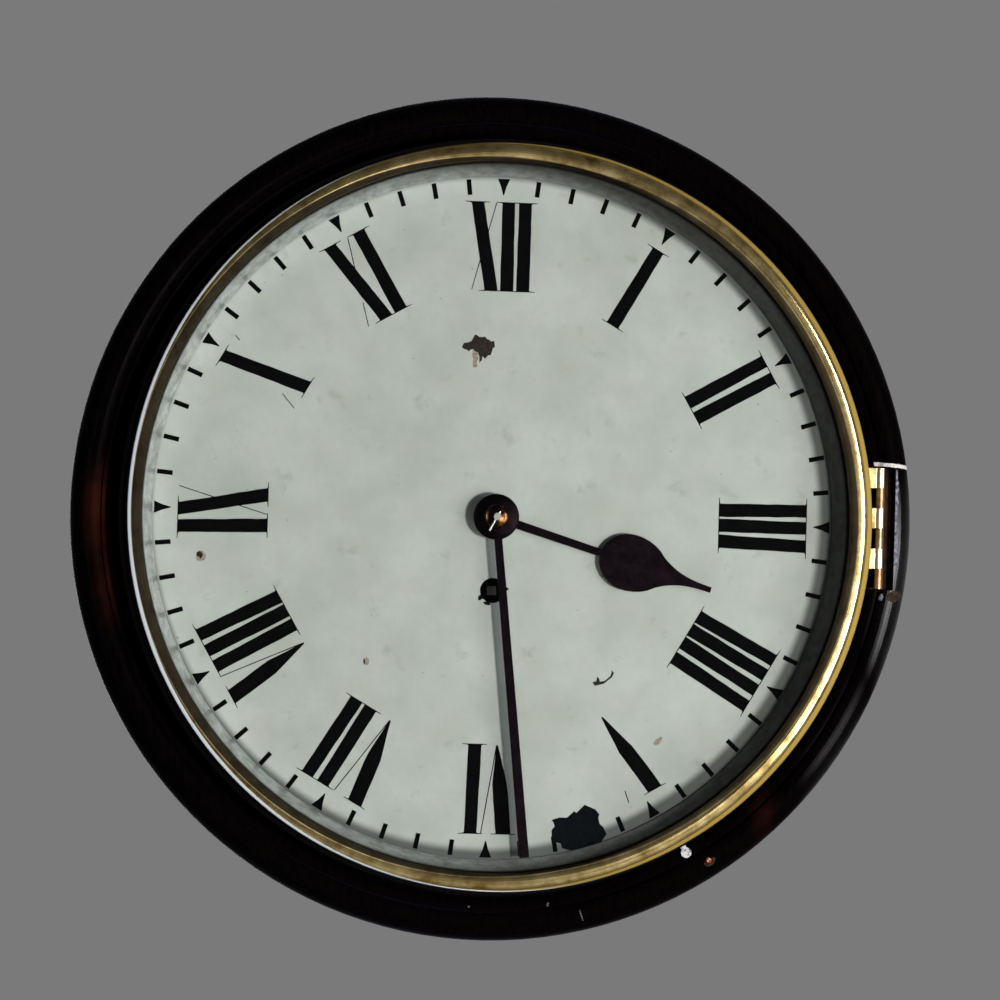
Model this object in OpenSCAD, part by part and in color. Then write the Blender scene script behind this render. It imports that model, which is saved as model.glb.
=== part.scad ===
// Round wall clock of the schoolhouse kind, with fusee works and a short pendulum behind a 12 inch dial.
// The wall is at y = 0, the front faces minus y, and the origin lies on the wall behind the dial centre.
// Most shapes are drawn flat, with x to the right, y up and z away from the wall, then stood up.

/* [Case] */
// Space between the works and the rails beside them
works_room = 3; // [2:0.5:6]
// Height of the box top above the dial centre
case_top = 140; // [134:1:142]
// Space left under the pendulum, above the curved bottom
bottom_room = 5.7; // [4:0.1:9]
// Thickness of the box sides
case_wall = 9; // [8:0.5:10]
// Thickness of the back board
back_t = 10; // [9:0.5:11]
// Space between the back board and the pendulum bob
bob_room = 6.6; // [5:0.2:10]
// Distance from the back board to the edge of each door opening
door_margin = 10; // [8:0.5:12]
// Height of the side door opening
side_door_h = 110; // [90:1:112]
// Height of the middle of the side door above the dial centre
side_door_mid = 5; // [2:1:8]
// Angle that the bottom door takes of the curved bottom
bottom_door_angle = 56; // [48:1:60]
// Gap all round each door
door_gap = 0.6; // [0.4:0.1:1]
// Radius of the pegs that hold the surround on the box
peg_r = 4; // [3:0.25:5]
// Length of the peg head outside the box
peg_head = 10; // [6:1:14]
// Width of the rails behind the surround
rail_w = 11; // [10:0.5:12]

/* [Hanging plate] */
// Width of the hanging plate
hang_w = 70; // [60:1:80]
// Height of the hanging plate
hang_h = 40; // [36:1:44]
// Thickness of the hanging plate
hang_t = 3; // [2:0.5:4]
// Radius of the hole for the wall hook
hook_r = 5; // [4:0.25:6]

/* [Surround] */
// Outer diameter of the round surround
surround_d = 369; // [366:0.5:372]
// Diameter of the hole through the surround
surround_hole_d = 232; // [230:1:240]
// Wood between the box and the seat of the dial
surround_t = 20; // [18:0.5:24]
// Width of the outer roll
roll_w = 13.5; // [11:0.25:15]
// Width of the inner bead
bead_w = 6.2; // [5.5:0.1:7]
// Height of the inner bead above the bezel seat
bead_h = 7.2; // [6:0.2:8]
// Height of the outer roll above the bezel seat
roll_h = 10.6; // [9:0.2:10.8]

/* [Dial] */
// Thickness of the iron dial
dial_t = 1.5; // [1:0.1:2]
// Radius of the hole for the hands
dial_hole_r = 6; // [5.8:0.1:6.6]
// Radius of the winding hole
winding_r = 5.5; // [5:0.1:6.5]
// Drop from the dial centre to the winding hole
winding_drop = 32; // [31.5:0.1:32.5]
// Length of the feet between dial and works
foot_l = 17; // [16:0.5:18]

/* [Bezel] */
// Width of the bezel from its foot to its inner edge
bezel_w = 9.9; // [9.4:0.1:10.4]
// Height of the middle of the bezel crest above the dial
crest_h = 20.4; // [19:0.1:22]
// Half width of the round crest of the bezel
crest_w = 3.5; // [3:0.1:4]
// How far the round crest rises
crest_r = 2.2; // [1.6:0.1:2.6]
// Height of the back of the glass above the dial
glass_h = 13.4; // [13.2:0.1:14.5]
// Thickness of the glass
glass_t = 2; // [1.6:0.1:2.2]
// Width of the sight ring, from the bezel in over the dial
sight_w = 5; // [4.6:0.1:5.6]
// Length of the bezel hinge
hinge_l = 53; // [48:1:58]
// Radius of the bezel hinge barrel
hinge_r = 1.8; // [1.6:0.05:2]
// Height of the bezel hinge pin above the dial
hinge_h = 9.5; // [9.2:0.1:9.8]
// Place of the finger lug, turned from the right side
lug_angle = -58.8; // [-75:0.2:-30]

/* [Hands] */
// Gap between the tip of the minute hand and the sight ring
minute_gap = 0.8; // [0.5:0.1:6]
// How much shorter the hour hand is than the minute hand
hour_short = 48.5; // [44:0.5:56]
// Half width of the hour hand at its spade
spade_r = 12.4; // [10:0.2:14]
// Distance from the tip of the hour hand to the middle of the spade
spade_back = 38; // [34:0.5:42]
// Width of the minute hand
minute_w = 3.4; // [2.6:0.1:4.2]
// Radius of the round middle of both hands
boss_r = 10; // [9:0.1:11]
// Thickness of the hands
hand_t = 1.2; // [0.8:0.1:1.4]
// Angle of the hour hand, clockwise from the top
hour_angle = 106.9; // [0:0.1:360]
// Angle of the minute hand, clockwise from the top
minute_angle = 173.7; // [0:0.1:360]

/* [Works] */
// Thickness of the brass plates
plate_t = 3; // [2.5:0.25:3.5]
// Space between the brass plates
plate_gap = 44; // [43:0.5:45]
// Radius of the pillars between the plates
pillar_r = 3.5; // [3:0.25:4]
// Teeth of the great wheel
great_teeth = 96; // [88:4:104]
// Teeth of the centre wheel
centre_teeth = 96; // [92:2:100]
// Size of the teeth of the centre wheel
centre_m = 0.52; // [0.51:0.005:0.53]
// Teeth of the third wheel
third_teeth = 80; // [76:2:84]
// Size of the teeth of the third wheel
third_m = 0.5; // [0.49:0.005:0.51]
// Leaves of every pinion
leaves = 8; // [8:1:10]
// Teeth of the escape wheel
escape_teeth = 35; // [30:1:36]
// Radius of the escape wheel
escape_r = 17; // [16:0.25:17.5]
// Teeth of the cannon and minute wheels
cannon_teeth = 36; // [34:1:38]
// Size of the teeth of the cannon wheel
cannon_m = 0.6; // [0.58:0.01:0.62]
// Teeth of the hour wheel
hour_teeth = 96; // [88:4:104]
// Radius of the spring barrel
barrel_r = 23.5; // [22:0.25:24]
// Distance of the barrel from the dial centre, sideways and down
barrel_off = 52; // [51.5:0.25:53]
// Wide radius of the fusee
fusee_wide = 19; // [17:0.25:20]
// Narrow radius of the fusee
fusee_narrow = 9; // [8:0.25:11]
// Number of grooves on the fusee
fusee_turns = 11; // [8:1:12]
// Radius of the gut line
gut_r = 0.7; // [0.5:0.05:0.8]

/* [Pendulum] */
// Length from the suspension to the middle of the bob
pendulum_l = 182.6; // [178:0.5:184]
// Radius of the pendulum rod
rod_r = 1.5; // [1.2:0.1:1.8]
// Radius of the bob
bob_r = 24; // [20:0.5:25]
// Thickness of the bob
bob_t = 14; // [10:0.5:16]

/* [Hidden] */
$fn = 64;

// Running clearance of pivots and pipes
fit = 0.06;
// Gap between pieces of different bodies
gap = 0.3;
// Overlap that makes a cut clean
cut = 1;

plate_edge = 3.5;
plate_left = -barrel_off - barrel_r - plate_edge;
plate_right = 41;
plate_low = -80;
plate_high = 76;
pillar_in = 6;
pillar_spots = [[plate_left + pillar_in, plate_low + pillar_in],
                [plate_left + pillar_in, plate_high - pillar_in],
                [plate_right - pillar_in, plate_low + pillar_in],
                [plate_right - pillar_in, plate_high - pillar_in]];
foot_spots = [[-50, 64], [24, 64], [-28, -72], [24, -72]];

// From the wall outwards: pendulum, back plate, front plate, seat of the dial
rod_back = 15;
pendulum_z = back_t + bob_room + bob_t / 2 + 0.4;
back_out = pendulum_z + rod_back;
back_in = back_out + plate_t;
plate_in = back_in + plate_gap;
plate_front = plate_in + plate_t;
seat_z = plate_front + foot_l;
case_depth = seat_z - surround_t;
dial_z = seat_z + dial_t;

rail_x = works_room - plate_left;
rail_side = 3;
box_r = rail_x + rail_w + rail_side + case_wall;
case_w = 2 * box_r;
side_door_low = side_door_mid - side_door_h / 2;
door_back = back_t + door_margin;
door_front = case_depth - door_margin - 1;
peg_z = case_depth - 10;
peg_heights = [-60, 75];
rail_low = -78;
rail_high = 112;
rail_deep = 20;
hang_top = case_top - 5;
hook_y = hang_top - hang_h / 2;
hang_screw_x = hang_w / 2 - 10;

surround_r = surround_d / 2;
quirk_r = surround_r - roll_w;
roll_mid = quirk_r + 0.35 * roll_w;
bead_in = quirk_r - bead_w;
bezel_r = bead_in - 2 * gap;
lip_r = bezel_r - bezel_w;
sight_r = lip_r - sight_w;
dial_lap = 0.7;
dial_r = lip_r + dial_lap;
minute_l = sight_r - minute_gap;
hour_l = minute_l - hour_short;
spade_at = hour_l - spade_back;

roll_top = dial_z + roll_h;
hinge_x = quirk_r - 2.3;
hinge_z = dial_z + hinge_h;
knuckles = 6;
knuckle_l = hinge_l / knuckles;
leaf_t = 1.2;
notch_z = seat_z + 4;
notch_w = 4.3;

glass_z = dial_z + glass_h;
glass_r = lip_r + 1.4;
bezel_in = glass_r + 0.2;
bezel_z = dial_z + gap;

great_m = 2 * winding_drop / (great_teeth + leaves);
great_z = back_in + 3.5;
great_t = 2.5;
cone_z = great_z + great_t + gap;
cone_l = 26;
groove_step = (cone_l - 3) / fusee_turns;
groove_mid = 0.85;

third_off = centre_m * (centre_teeth + leaves) / 2;
third_turn = 53.7;
third_x = third_off * cos(third_turn);
third_y = third_off * sin(third_turn);
third_z = back_in + 8;
wheel_t = 2;
escape_off = third_m * (third_teeth + leaves) / 2;
escape_y = third_y + sqrt(escape_off * escape_off - third_x * third_x);
escape_z = back_in + 22;
centre_z = plate_in - 6;
anchor_y = escape_y + escape_r * sqrt(2);

cannon_off = cannon_m * cannon_teeth;
hour_m = 2 * cannon_off / (hour_teeth + leaves);
motion_turn = 45;
cannon_z = plate_front + 2;
bridge_z = cannon_z + wheel_t + 1;
bridge_t = 1.6;
hour_z = bridge_z + bridge_t + 0.6;
arbor_r = 1.6;
cannon_r = 2.6;
bridge_r = 3.8;
pipe_r = 4.9;

hour_hand_z = dial_z + 2.8;
minute_hand_z = dial_z + 6.8;
collet_z = minute_hand_z + hand_t;
collet_h = 3.1;
pin_turn = 242;
pin_z = collet_z + collet_h + 0.5;
arbor_tip = pin_z + 1.2;

barrel_z = back_in + 4;
barrel_l = 36;
barrel_wall = 1.6;
barrel_arbor_r = 4;
cap_t = 2;
run_groove = 6;
run_z = cone_z + 1 + groove_step * (run_groove + groove_mid);

bob_y = anchor_y - pendulum_l;
nut_h = 5;
nut_y = bob_y - bob_r - nut_h - 0.6;
rod_low = nut_y - 4;
// Drop from the dial centre to where the curved bottom starts
case_drop = bottom_room + case_wall - rod_low - box_r;

// Stands a flat drawing up, so that its z points away from the wall
module stand() { rotate([90, 0, 0]) children(); }
module ring(r_out, r_in, h) {
    difference() {
        cylinder(r = r_out, h = h);
        translate([0, 0, -cut]) cylinder(r = r_in, h = h + 2 * cut);
    }
}
function arc(cx, cy, rx, ry, a0, a1, n) =
    [for (i = [0:n]) let(a = a0 + (a1 - a0) * i / n) [cx + rx * cos(a), cy + ry * sin(a)]];

// Outline of the box: straight sides, flat top and half round bottom
module box_solid(inset, h) {
    translate([inset - box_r, -case_drop, 0]) cube([case_w - 2 * inset, case_top + case_drop - inset, h]);
    translate([0, -case_drop, 0]) cylinder(r = box_r - inset, h = h, $fn = 128);
}

// Teeth of a wheel or pinion, with rounded tips and radial flanks
function tooth(i, turn, m, teeth, wide, tip, root) =
    let(rp = m * teeth / 2, step = 360 / teeth)
    [for (p = [[-0.5, -root], [-0.5, 0], [-0.36, 0.6 * tip], [-0.12, tip],
               [0.12, tip], [0.36, 0.6 * tip], [0.5, 0], [0.5, -root]])
        let(a = turn + step * (i + p[0] * wide), r = rp + m * p[1]) [r * cos(a), r * sin(a)]];
function gear_outline(teeth, m, turn, wide, tip, root) =
    [for (i = [0:teeth - 1]) each tooth(i, turn, m, teeth, wide, tip, root)];
module wheel_blank(teeth, m, turn, t) {
    linear_extrude(t) polygon(gear_outline(teeth, m, turn, 0.44, 0.85, 1.4));
}
module pinion(m, turn, l) {
    linear_extrude(l) polygon(gear_outline(leaves, m, turn + 180 / leaves, 0.34, 0.5, 1.3));
}
// Cuts the openings between the arms of a wheel
module crossings(r_out, r_in, arms, arm_w, turn, t) {
    difference() {
        translate([0, 0, -cut]) cylinder(r = r_out, h = t + 2 * cut);
        translate([0, 0, -2 * cut]) cylinder(r = r_in, h = t + 4 * cut);
        for (i = [0:arms - 1]) rotate(turn + i * 360 / arms)
            translate([0, -arm_w / 2, -2 * cut]) cube([r_out + cut, arm_w, t + 4 * cut]);
    }
}
module crossed_wheel(teeth, m, turn, t, r_bore, rim) {
    rp = m * teeth / 2;
    difference() {
        wheel_blank(teeth, m, turn, t);
        crossings(rp - 1.4 * m - rim, 6.5, 4, 2.6, turn + 20, t);
        translate([0, 0, -cut]) cylinder(r = r_bore, h = t + 2 * cut);
    }
}

module back_board() color("#3a2216") stand() difference() {
    box_solid(0, back_t);
    translate([-hang_w / 2 - 0.2, hang_top - hang_h - 0.2, -cut])
        cube([hang_w + 0.4, hang_h + 0.4, hang_t + cut]);
    translate([0, hook_y, 0]) cylinder(r = hook_r + 4, h = back_t - 2);
    for (s = [-1, 1]) translate([s * hang_screw_x, hook_y, 0]) cylinder(r = 2.05, h = back_t - 1);
}

module hanging_plate() color("#b08d46") stand() difference() {
    translate([-hang_w / 2, hang_top - hang_h, 0]) cube([hang_w, hang_h, hang_t]);
    translate([0, hook_y, -cut]) cylinder(r = hook_r, h = hang_t + 2 * cut);
    for (s = [-1, 1]) translate([s * hang_screw_x, hook_y, -cut]) cylinder(r = 2.3, h = hang_t + 2 * cut);
}

module screw(r, l, head_r, head_h) {
    translate([0, 0, -l]) cylinder(r = r, h = l);
    difference() {
        cylinder(r = head_r, h = head_h);
        translate([-head_r - cut, -0.35, head_h / 2]) cube([2 * head_r + 2 * cut, 0.7, head_h]);
    }
}
module at_dial_screws() for (a = [90, 210, 330]) rotate(a) translate([dial_r - 3, 0, 0]) children();
module slotted_screws() color("#8f8c86") stand() {
    at_dial_screws() translate([0, 0, dial_z + 0.02]) screw(1.2, 6, 2, 0.45);
    for (s = [-1, 1]) translate([s * hang_screw_x, hook_y, hang_t - 1.2]) rotate([180, 0, 0])
        screw(2, back_t - 4, 2.2, 1.1);
}

module case_box() color("#2c1a12") stand() difference() {
    translate([0, 0, back_t]) box_solid(0, case_depth - back_t);
    translate([0, 0, back_t - cut]) box_solid(case_wall, case_depth - back_t + 2 * cut);
    translate([box_r - case_wall - cut, side_door_low, door_back])
        cube([case_wall + 2 * cut, side_door_h, door_front - door_back]);
    translate([0, -case_drop, door_back]) bottom_wedge(bottom_door_angle, door_front - door_back);
    for (y = peg_heights, s = [-1, 1]) translate([s * (box_r - case_wall - 2), y, peg_z])
        rotate([0, s * 90, 0]) cylinder(r = peg_r + 0.1, h = case_wall + 4);
}
// Wedge that cuts the bottom door and its opening out of the curved bottom
module bottom_wedge(angle, h) {
    far = 2 * box_r;
    side = far * tan(angle / 2);
    rotate(-90) linear_extrude(h) polygon([[0, 0], [far, -side], [far, side]]);
}

module case_pegs() color("#5a3a22") stand()
    for (y = peg_heights, s = [-1, 1]) translate([s * (rail_x + 0.5), y, peg_z]) rotate([0, s * 90, 0]) {
        cylinder(r = peg_r, h = box_r - rail_x);
        translate([0, 0, box_r - rail_x]) cylinder(r1 = peg_r + 1.5, r2 = peg_r + 0.5, h = peg_head);
    }

module surround_rails() color("#4a2e1c") stand() for (s = [-1, 1]) difference() {
    translate([s * (rail_x + rail_w / 2) - rail_w / 2, rail_low, case_depth - rail_deep])
        cube([rail_w, rail_high - rail_low, rail_deep]);
    for (y = peg_heights) translate([s * (rail_x - cut), y, peg_z])
        rotate([0, s * 90, 0]) cylinder(r = peg_r + 0.1, h = rail_w + 2 * cut);
}

butt_w = 13;
butt_h = 22;
butt_r = 1.9;
butt_t = 1;
butt_pin = 0.8;
side_hinge_x = box_r + butt_r + 0.2;
side_hinge_z = door_back;
side_butts = [side_door_mid - side_door_h * 0.3, side_door_mid + side_door_h * 0.3];
// One half of a small butt hinge, its pin along y, its leaf towards minus z or plus z
module butt_leaf(side) {
    third = butt_h / 3;
    knuckle_spots = side > 0 ? [1] : [0, 2];
    translate([-butt_r - 0.1, -butt_h / 2, side > 0 ? butt_r + gap : -butt_r - gap - butt_w + 4])
        cube([butt_t, butt_h, butt_w - 4]);
    for (k = knuckle_spots) translate([0, (k - 1.5) * third + 0.1, 0]) {
        difference() {
            union() {
                rotate([-90, 0, 0]) cylinder(r = butt_r, h = third - 0.2);
                translate([-butt_r - 0.1, 0, side > 0 ? 0 : -butt_r - gap - 0.5])
                    cube([butt_t, third - 0.2, butt_r + gap + 0.5]);
            }
            translate([0, -cut, 0]) rotate([-90, 0, 0]) cylinder(r = butt_pin + fit, h = third + 2 * cut);
        }
    }
    if (side < 0) translate([0, -butt_h / 2, 0]) rotate([-90, 0, 0]) cylinder(r = butt_pin, h = butt_h);
}
module at_side_butts() for (y = side_butts) translate([side_hinge_x, y, side_hinge_z]) children();

bottom_hinge_r = box_r + butt_r + 0.2;
bottom_butts = [door_back + 14, door_front - 14];
// Places a butt at the right end of the bottom door, with its pin away from the wall
module at_bottom_butts() for (z = bottom_butts)
    translate([0, -case_drop, z]) rotate(bottom_door_angle / 2 - 90) translate([bottom_hinge_r, 0, 0])
        rotate([90, 0, 0]) children();

module side_door() color("#2c1a12") stand()
    translate([box_r - case_wall, side_door_low + door_gap, door_back + door_gap])
        cube([case_wall, side_door_h - 2 * door_gap, door_front - door_back - 2 * door_gap]);
module side_door_leaves() color("#b08d46") stand() at_side_butts() butt_leaf(1);

module bottom_door() color("#2c1a12") stand() {
    trim = door_gap / box_r * 180 / PI;
    translate([0, -case_drop, door_back + door_gap]) intersection() {
        ring(box_r, box_r - case_wall, door_front - door_back - 2 * door_gap, $fn = 128);
        translate([0, 0, -cut])
            bottom_wedge(bottom_door_angle - 2 * trim, door_front - door_back + 2 * cut);
    }
}
module bottom_door_leaves() color("#b08d46") stand() at_bottom_butts() butt_leaf(1);
module door_hinges() color("#b08d46") stand() {
    at_side_butts() butt_leaf(-1);
    at_bottom_butts() butt_leaf(-1);
}

// Small turn button on a screw; it points along plus y and turns about z
module turn_button() {
    difference() {
        union() {
            translate([-3, 0, 0.4]) cube([6, 9, 2]);
            translate([0, 0, 0.4]) cylinder(r = 3, h = 2);
            translate([0, 9, 0.4]) cylinder(r = 3, h = 2);
        }
        translate([0, 0, -cut]) cylinder(r = 1.2 + fit, h = 4);
    }
    screw_head_z = 2.5;
    translate([0, 0, screw_head_z]) cylinder(r = 2.2, h = 1);
    translate([0, 0, 0.05]) cylinder(r = 1.2, h = screw_head_z - 0.05);
}
button_margin = 5.5;
module side_door_button() color("#b08d46") stand()
    translate([box_r, side_door_mid, door_front + button_margin]) rotate([0, 90, 0]) turn_button();
button_turn = bottom_door_angle / 2 + 4.5;
module bottom_door_button() color("#b08d46") stand()
    translate([0, -case_drop, (door_back + door_front) / 2 - 4.5]) rotate(-90 - button_turn)
        translate([box_r, 0, 0]) rotate([0, 90, 0]) rotate(90) turn_button();

pin_angle = lug_angle + 2.2;
// Section of the turned surround: seat, inner bead, fine groove and outer roll
surround_profile = concat(
    [[surround_hole_d / 2, case_depth], [surround_r - 3, case_depth], [surround_r - 3, case_depth + 8],
     [surround_r, case_depth + 13]],
    arc(roll_mid, seat_z - 2, surround_r - roll_mid, roll_top - seat_z + 2, 0, 117, 16),
    [[quirk_r + 0.6, dial_z + bead_h - 1], [quirk_r + 0.1, dial_z + bead_h - 1]],
    arc(quirk_r, dial_z, quirk_r - bead_in, bead_h, 90, 180, 10),
    [[dial_r + 1, dial_z], [dial_r + 1, seat_z], [surround_hole_d / 2, seat_z]]);
module surround() color("#1b120e") stand() difference() {
    rotate_extrude($fn = 180) polygon(surround_profile);
    translate([bezel_r - 0.7, -hinge_l / 2 - 0.5, notch_z])
        cube([quirk_r + notch_w - bezel_r + 0.7, hinge_l + 1, 30]);
    rotate(pin_angle) translate([roll_mid, 0, roll_top - 6]) cylinder(r = 0.9, h = 30);
    at_dial_screws() translate([0, 0, seat_z - 6]) cylinder(r = 1.25, h = 12);
}
module bezel_pin() color("#a9693a") stand() rotate(pin_angle) translate([roll_mid, 0, roll_top + 0.05]) {
    translate([0, 0, -5.9]) cylinder(r = 0.8, h = 6);
    cylinder(r1 = 1.8, r2 = 1, h = 0.9);
}

module dial() color("#b9bdb2") stand() difference() {
    translate([0, 0, seat_z]) cylinder(r = dial_r, h = dial_t, $fn = 180);
    translate([0, 0, seat_z - cut]) cylinder(r = dial_hole_r, h = dial_t + 2 * cut);
    translate([0, -winding_drop, seat_z - cut]) cylinder(r = winding_r, h = dial_t + 2 * cut);
    at_dial_screws() translate([0, 0, seat_z - cut]) cylinder(r = 1.3, h = dial_t + 2 * cut);
}
module dial_feet() color("#c09a4e") stand() for (p = foot_spots) translate([p[0], p[1], plate_front]) {
    cylinder(r = 3.2, h = foot_l);
    translate([0, 0, foot_l - 1.5]) cylinder(r = 5, h = 1.5);
}

// Section of the bezel, spun from sheet: foot, upright wall, sloping band with a thin rim, and round crest
crest_mid = lip_r + crest_w;
crest_z = dial_z + crest_h;
wall_r = bezel_r - 0.4;
sheet_t = 1.3;
rim_r = 0.45;
rim_z = crest_z - 2.2;
pocket_z = glass_z - 1.3;
bezel_profile = concat(
    [[wall_r - sheet_t, bezel_z], [bezel_r, bezel_z], [bezel_r, bezel_z + 0.9], [wall_r, bezel_z + 1.5]],
    arc(wall_r - rim_r, rim_z, rim_r, rim_r, 0, 100, 5),
    arc(crest_mid, crest_z, crest_w, crest_r, -40, 180, 16),
    [[lip_r, glass_z + glass_t + 0.1], [bezel_in, glass_z + glass_t + 0.1], [bezel_in, pocket_z],
     [bezel_in + 1, pocket_z], [bezel_in + 1, rim_z], [wall_r - sheet_t, rim_z - sheet_t]]);
module bezel() color("#8a7433") stand() rotate_extrude($fn = 180) polygon(bezel_profile);
module sight_ring() color("#c9cbc4") stand() rotate_extrude($fn = 180) polygon([
    [sight_r, dial_z + 0.8], [sight_r + 0.8, dial_z + 0.8], [lip_r + 0.2, glass_z - 1.1],
    [glass_r, glass_z - 1.1], [glass_r, glass_z - 0.1], [lip_r - 0.4, glass_z - 0.1],
    [sight_r, dial_z + 1.7]]);
module glass() color([0.8, 0.9, 0.9, 0.25]) stand()
    translate([0, 0, glass_z]) cylinder(r = glass_r, h = glass_t, $fn = 180);

// Barrels of the bezel hinge; first is 0 for the fixed half and 1 for the moving half
module hinge_barrels(first) {
    for (k = [first:2:knuckles - 1])
        translate([hinge_x, -hinge_l / 2 + k * knuckle_l + 0.08, hinge_z]) difference() {
            union() {
                rotate([-90, 0, 0]) cylinder(r = hinge_r, h = knuckle_l - 0.16);
                if (first == 0)
                    translate([0.2, 0, notch_z + leaf_t - hinge_z - 0.5])
                        cube([leaf_t + 0.7, knuckle_l - 0.16, hinge_z - notch_z - leaf_t + 0.5]);
                if (first == 1)
                    translate([-9, 0, -leaf_t / 2]) cube([9, knuckle_l - 0.16, leaf_t]);
            }
            translate([0, -cut, 0]) rotate([-90, 0, 0]) cylinder(r = 1 + fit, h = knuckle_l + 2 * cut);
        }
}
module bezel_hinge() color("#5d4527") stand() {
    hinge_barrels(0);
    translate([hinge_x + 0.2, -hinge_l / 2, notch_z])
        cube([quirk_r + notch_w - hinge_x - 0.4, hinge_l, leaf_t]);
    translate([hinge_x, -hinge_l / 2, hinge_z]) rotate([-90, 0, 0]) cylinder(r = 1, h = hinge_l);
}
module bezel_hinge_leaf() color("#7b6432") stand() difference() {
    hinge_barrels(1);
    translate([0, 0, dial_z]) cylinder(r = wall_r, h = 40, $fn = 180);
}
lug_z = dial_z + bead_h + 0.6;
lug_t = 1.2;
lug_r = 2.3;
lug_mid = quirk_r - 3;
module bezel_lug() color("#a59a76") stand() difference() {
    rotate(lug_angle) {
        translate([wall_r - 2, -1.2, lug_z]) cube([lug_mid - wall_r + 2, 2.4, lug_t]);
        translate([lug_mid, 0, lug_z]) cylinder(r = lug_r, h = lug_t);
    }
    cylinder(r = wall_r, h = crest_z, $fn = 180);
}

module plate_blank(z) {
    translate([plate_left, plate_low, z]) cube([plate_right - plate_left, plate_high - plate_low, plate_t]);
}
module hole(x, y, z, r) translate([x, y, z - cut]) cylinder(r = r, h = plate_t + 2 * cut);
pivot_r = 1;
module back_plate() color("#b8963f") stand() difference() {
    plate_blank(back_out);
    hole(0, 0, back_out, 1.5 + fit);
    hole(0, -winding_drop, back_out, 2 + fit);
    hole(third_x, third_y, back_out, pivot_r + fit);
    hole(0, escape_y, back_out, pivot_r + fit);
    hole(0, anchor_y, back_out, 5);
    hole(-barrel_off, -barrel_off, back_out, 2.5 + fit);
    for (p = pillar_spots) hole(p[0], p[1], back_out, 2 + fit);
}
stud_r = 0.7;
stud_x = cannon_off * cos(motion_turn);
stud_y = cannon_off * sin(motion_turn);
stop_x = 34;
stop_y = -42;
module front_plate() color("#b8963f") stand() {
    difference() {
        plate_blank(plate_in);
        hole(0, 0, plate_in, arbor_r + 0.4 + fit);
        hole(0, -winding_drop, plate_in, 3 + fit);
        hole(third_x, third_y, plate_in, pivot_r + fit);
        hole(0, escape_y, plate_in, pivot_r + fit);
        hole(0, anchor_y, plate_in, pivot_r + fit);
        hole(-barrel_off, -barrel_off, plate_in, 3 + fit);
        for (p = pillar_spots) hole(p[0], p[1], plate_in, 2 + fit);
    }
    translate([stud_x, stud_y, plate_front]) cylinder(r = stud_r, h = hour_z + 3 - plate_front);
    translate([stud_x, stud_y, plate_front]) cylinder(r = 2, h = cannon_z - 0.4 - plate_front);
    for (s = [-1, 1]) translate([stop_x, stop_y + s * 3.3 - 1.2, plate_in - 9]) difference() {
        translate([-2.4, 0, 0]) cube([4.8, 2.4, 9]);
        translate([0, -cut, 2.4]) rotate([-90, 0, 0]) cylinder(r = 0.8 + fit, h = 2.4 + 2 * cut);
    }
}
module pillars() color("#c2a04c") stand() for (p = pillar_spots) translate([p[0], p[1], 0]) {
    translate([0, 0, back_out - 1.5]) cylinder(r = 2, h = plate_gap + 2 * plate_t + 3);
    translate([0, 0, back_in + 0.02]) rotate_extrude() polygon(concat(
        [[0, 0], [pillar_r + 1.2, 0], [pillar_r + 1.2, 2]],
        arc(pillar_r + 1.2, plate_gap / 2, 2.2, plate_gap / 2 - 5, 270, 90, 12),
        [[pillar_r + 1.2, plate_gap - 2.04], [pillar_r + 1.2, plate_gap - 0.04], [0, plate_gap - 0.04]]));
}

module at_barrel() translate([-barrel_off, -barrel_off, 0]) children();
module barrel() color("#bd9945") stand() at_barrel() translate([0, 0, barrel_z]) difference() {
    cylinder(r = barrel_r, h = barrel_l);
    translate([0, 0, barrel_wall]) cylinder(r = barrel_r - barrel_wall, h = barrel_l);
    translate([0, 0, -cut]) cylinder(r = barrel_arbor_r - 1 + fit, h = barrel_l);
}
module barrel_cap() color("#c7a654") stand() at_barrel() translate([0, 0, barrel_z + barrel_l - cap_t])
    difference() {
        union() {
            cylinder(r = barrel_r - barrel_wall - 0.02, h = cap_t);
            translate([0, 0, cap_t]) cylinder(r = 7, h = 0.6);
        }
        translate([0, 0, -cut]) cylinder(r = barrel_arbor_r - 1 + fit, h = 5);
    }
module barrel_arbor() color("#77777a") stand() at_barrel() {
    translate([0, 0, back_out - 1]) cylinder(r = 2.5, h = plate_t + 1.5);
    translate([0, 0, back_in + 0.3]) cylinder(r = barrel_arbor_r - 1, h = plate_front + 1.5 - back_in - 0.3);
    translate([0, 0, barrel_z + barrel_wall + gap])
        cylinder(r = barrel_arbor_r, h = barrel_l - barrel_wall - cap_t - 2 * gap);
    translate([-1.8, -1.8, plate_front + 1]) cube([3.6, 3.6, 5]);
}
spring_turns = 9;
spring_in = barrel_arbor_r + 1;
spring_out = barrel_r - barrel_wall - 1.2;
function spiral(r0, r1, turns, n) =
    [for (i = [0:n]) let(a = 360 * turns * i / n, r = r0 + (r1 - r0) * i / n) [r * cos(a), r * sin(a)]];
module mainspring() color("#4d5560") stand() at_barrel() translate([0, 0, barrel_z + barrel_wall + 0.6])
    linear_extrude(barrel_l - barrel_wall - cap_t - 1.4) polygon(concat(
        spiral(spring_in, spring_out, spring_turns, spring_turns * 20),
        [for (i = [spring_turns * 20:-1:0]) spiral(spring_in + 0.6, spring_out + 0.6,
            spring_turns, spring_turns * 20)[i]]));
ratchet_teeth = 20;
ratchet_r = 9;
ratchet_z = plate_front + 1.6;
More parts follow.
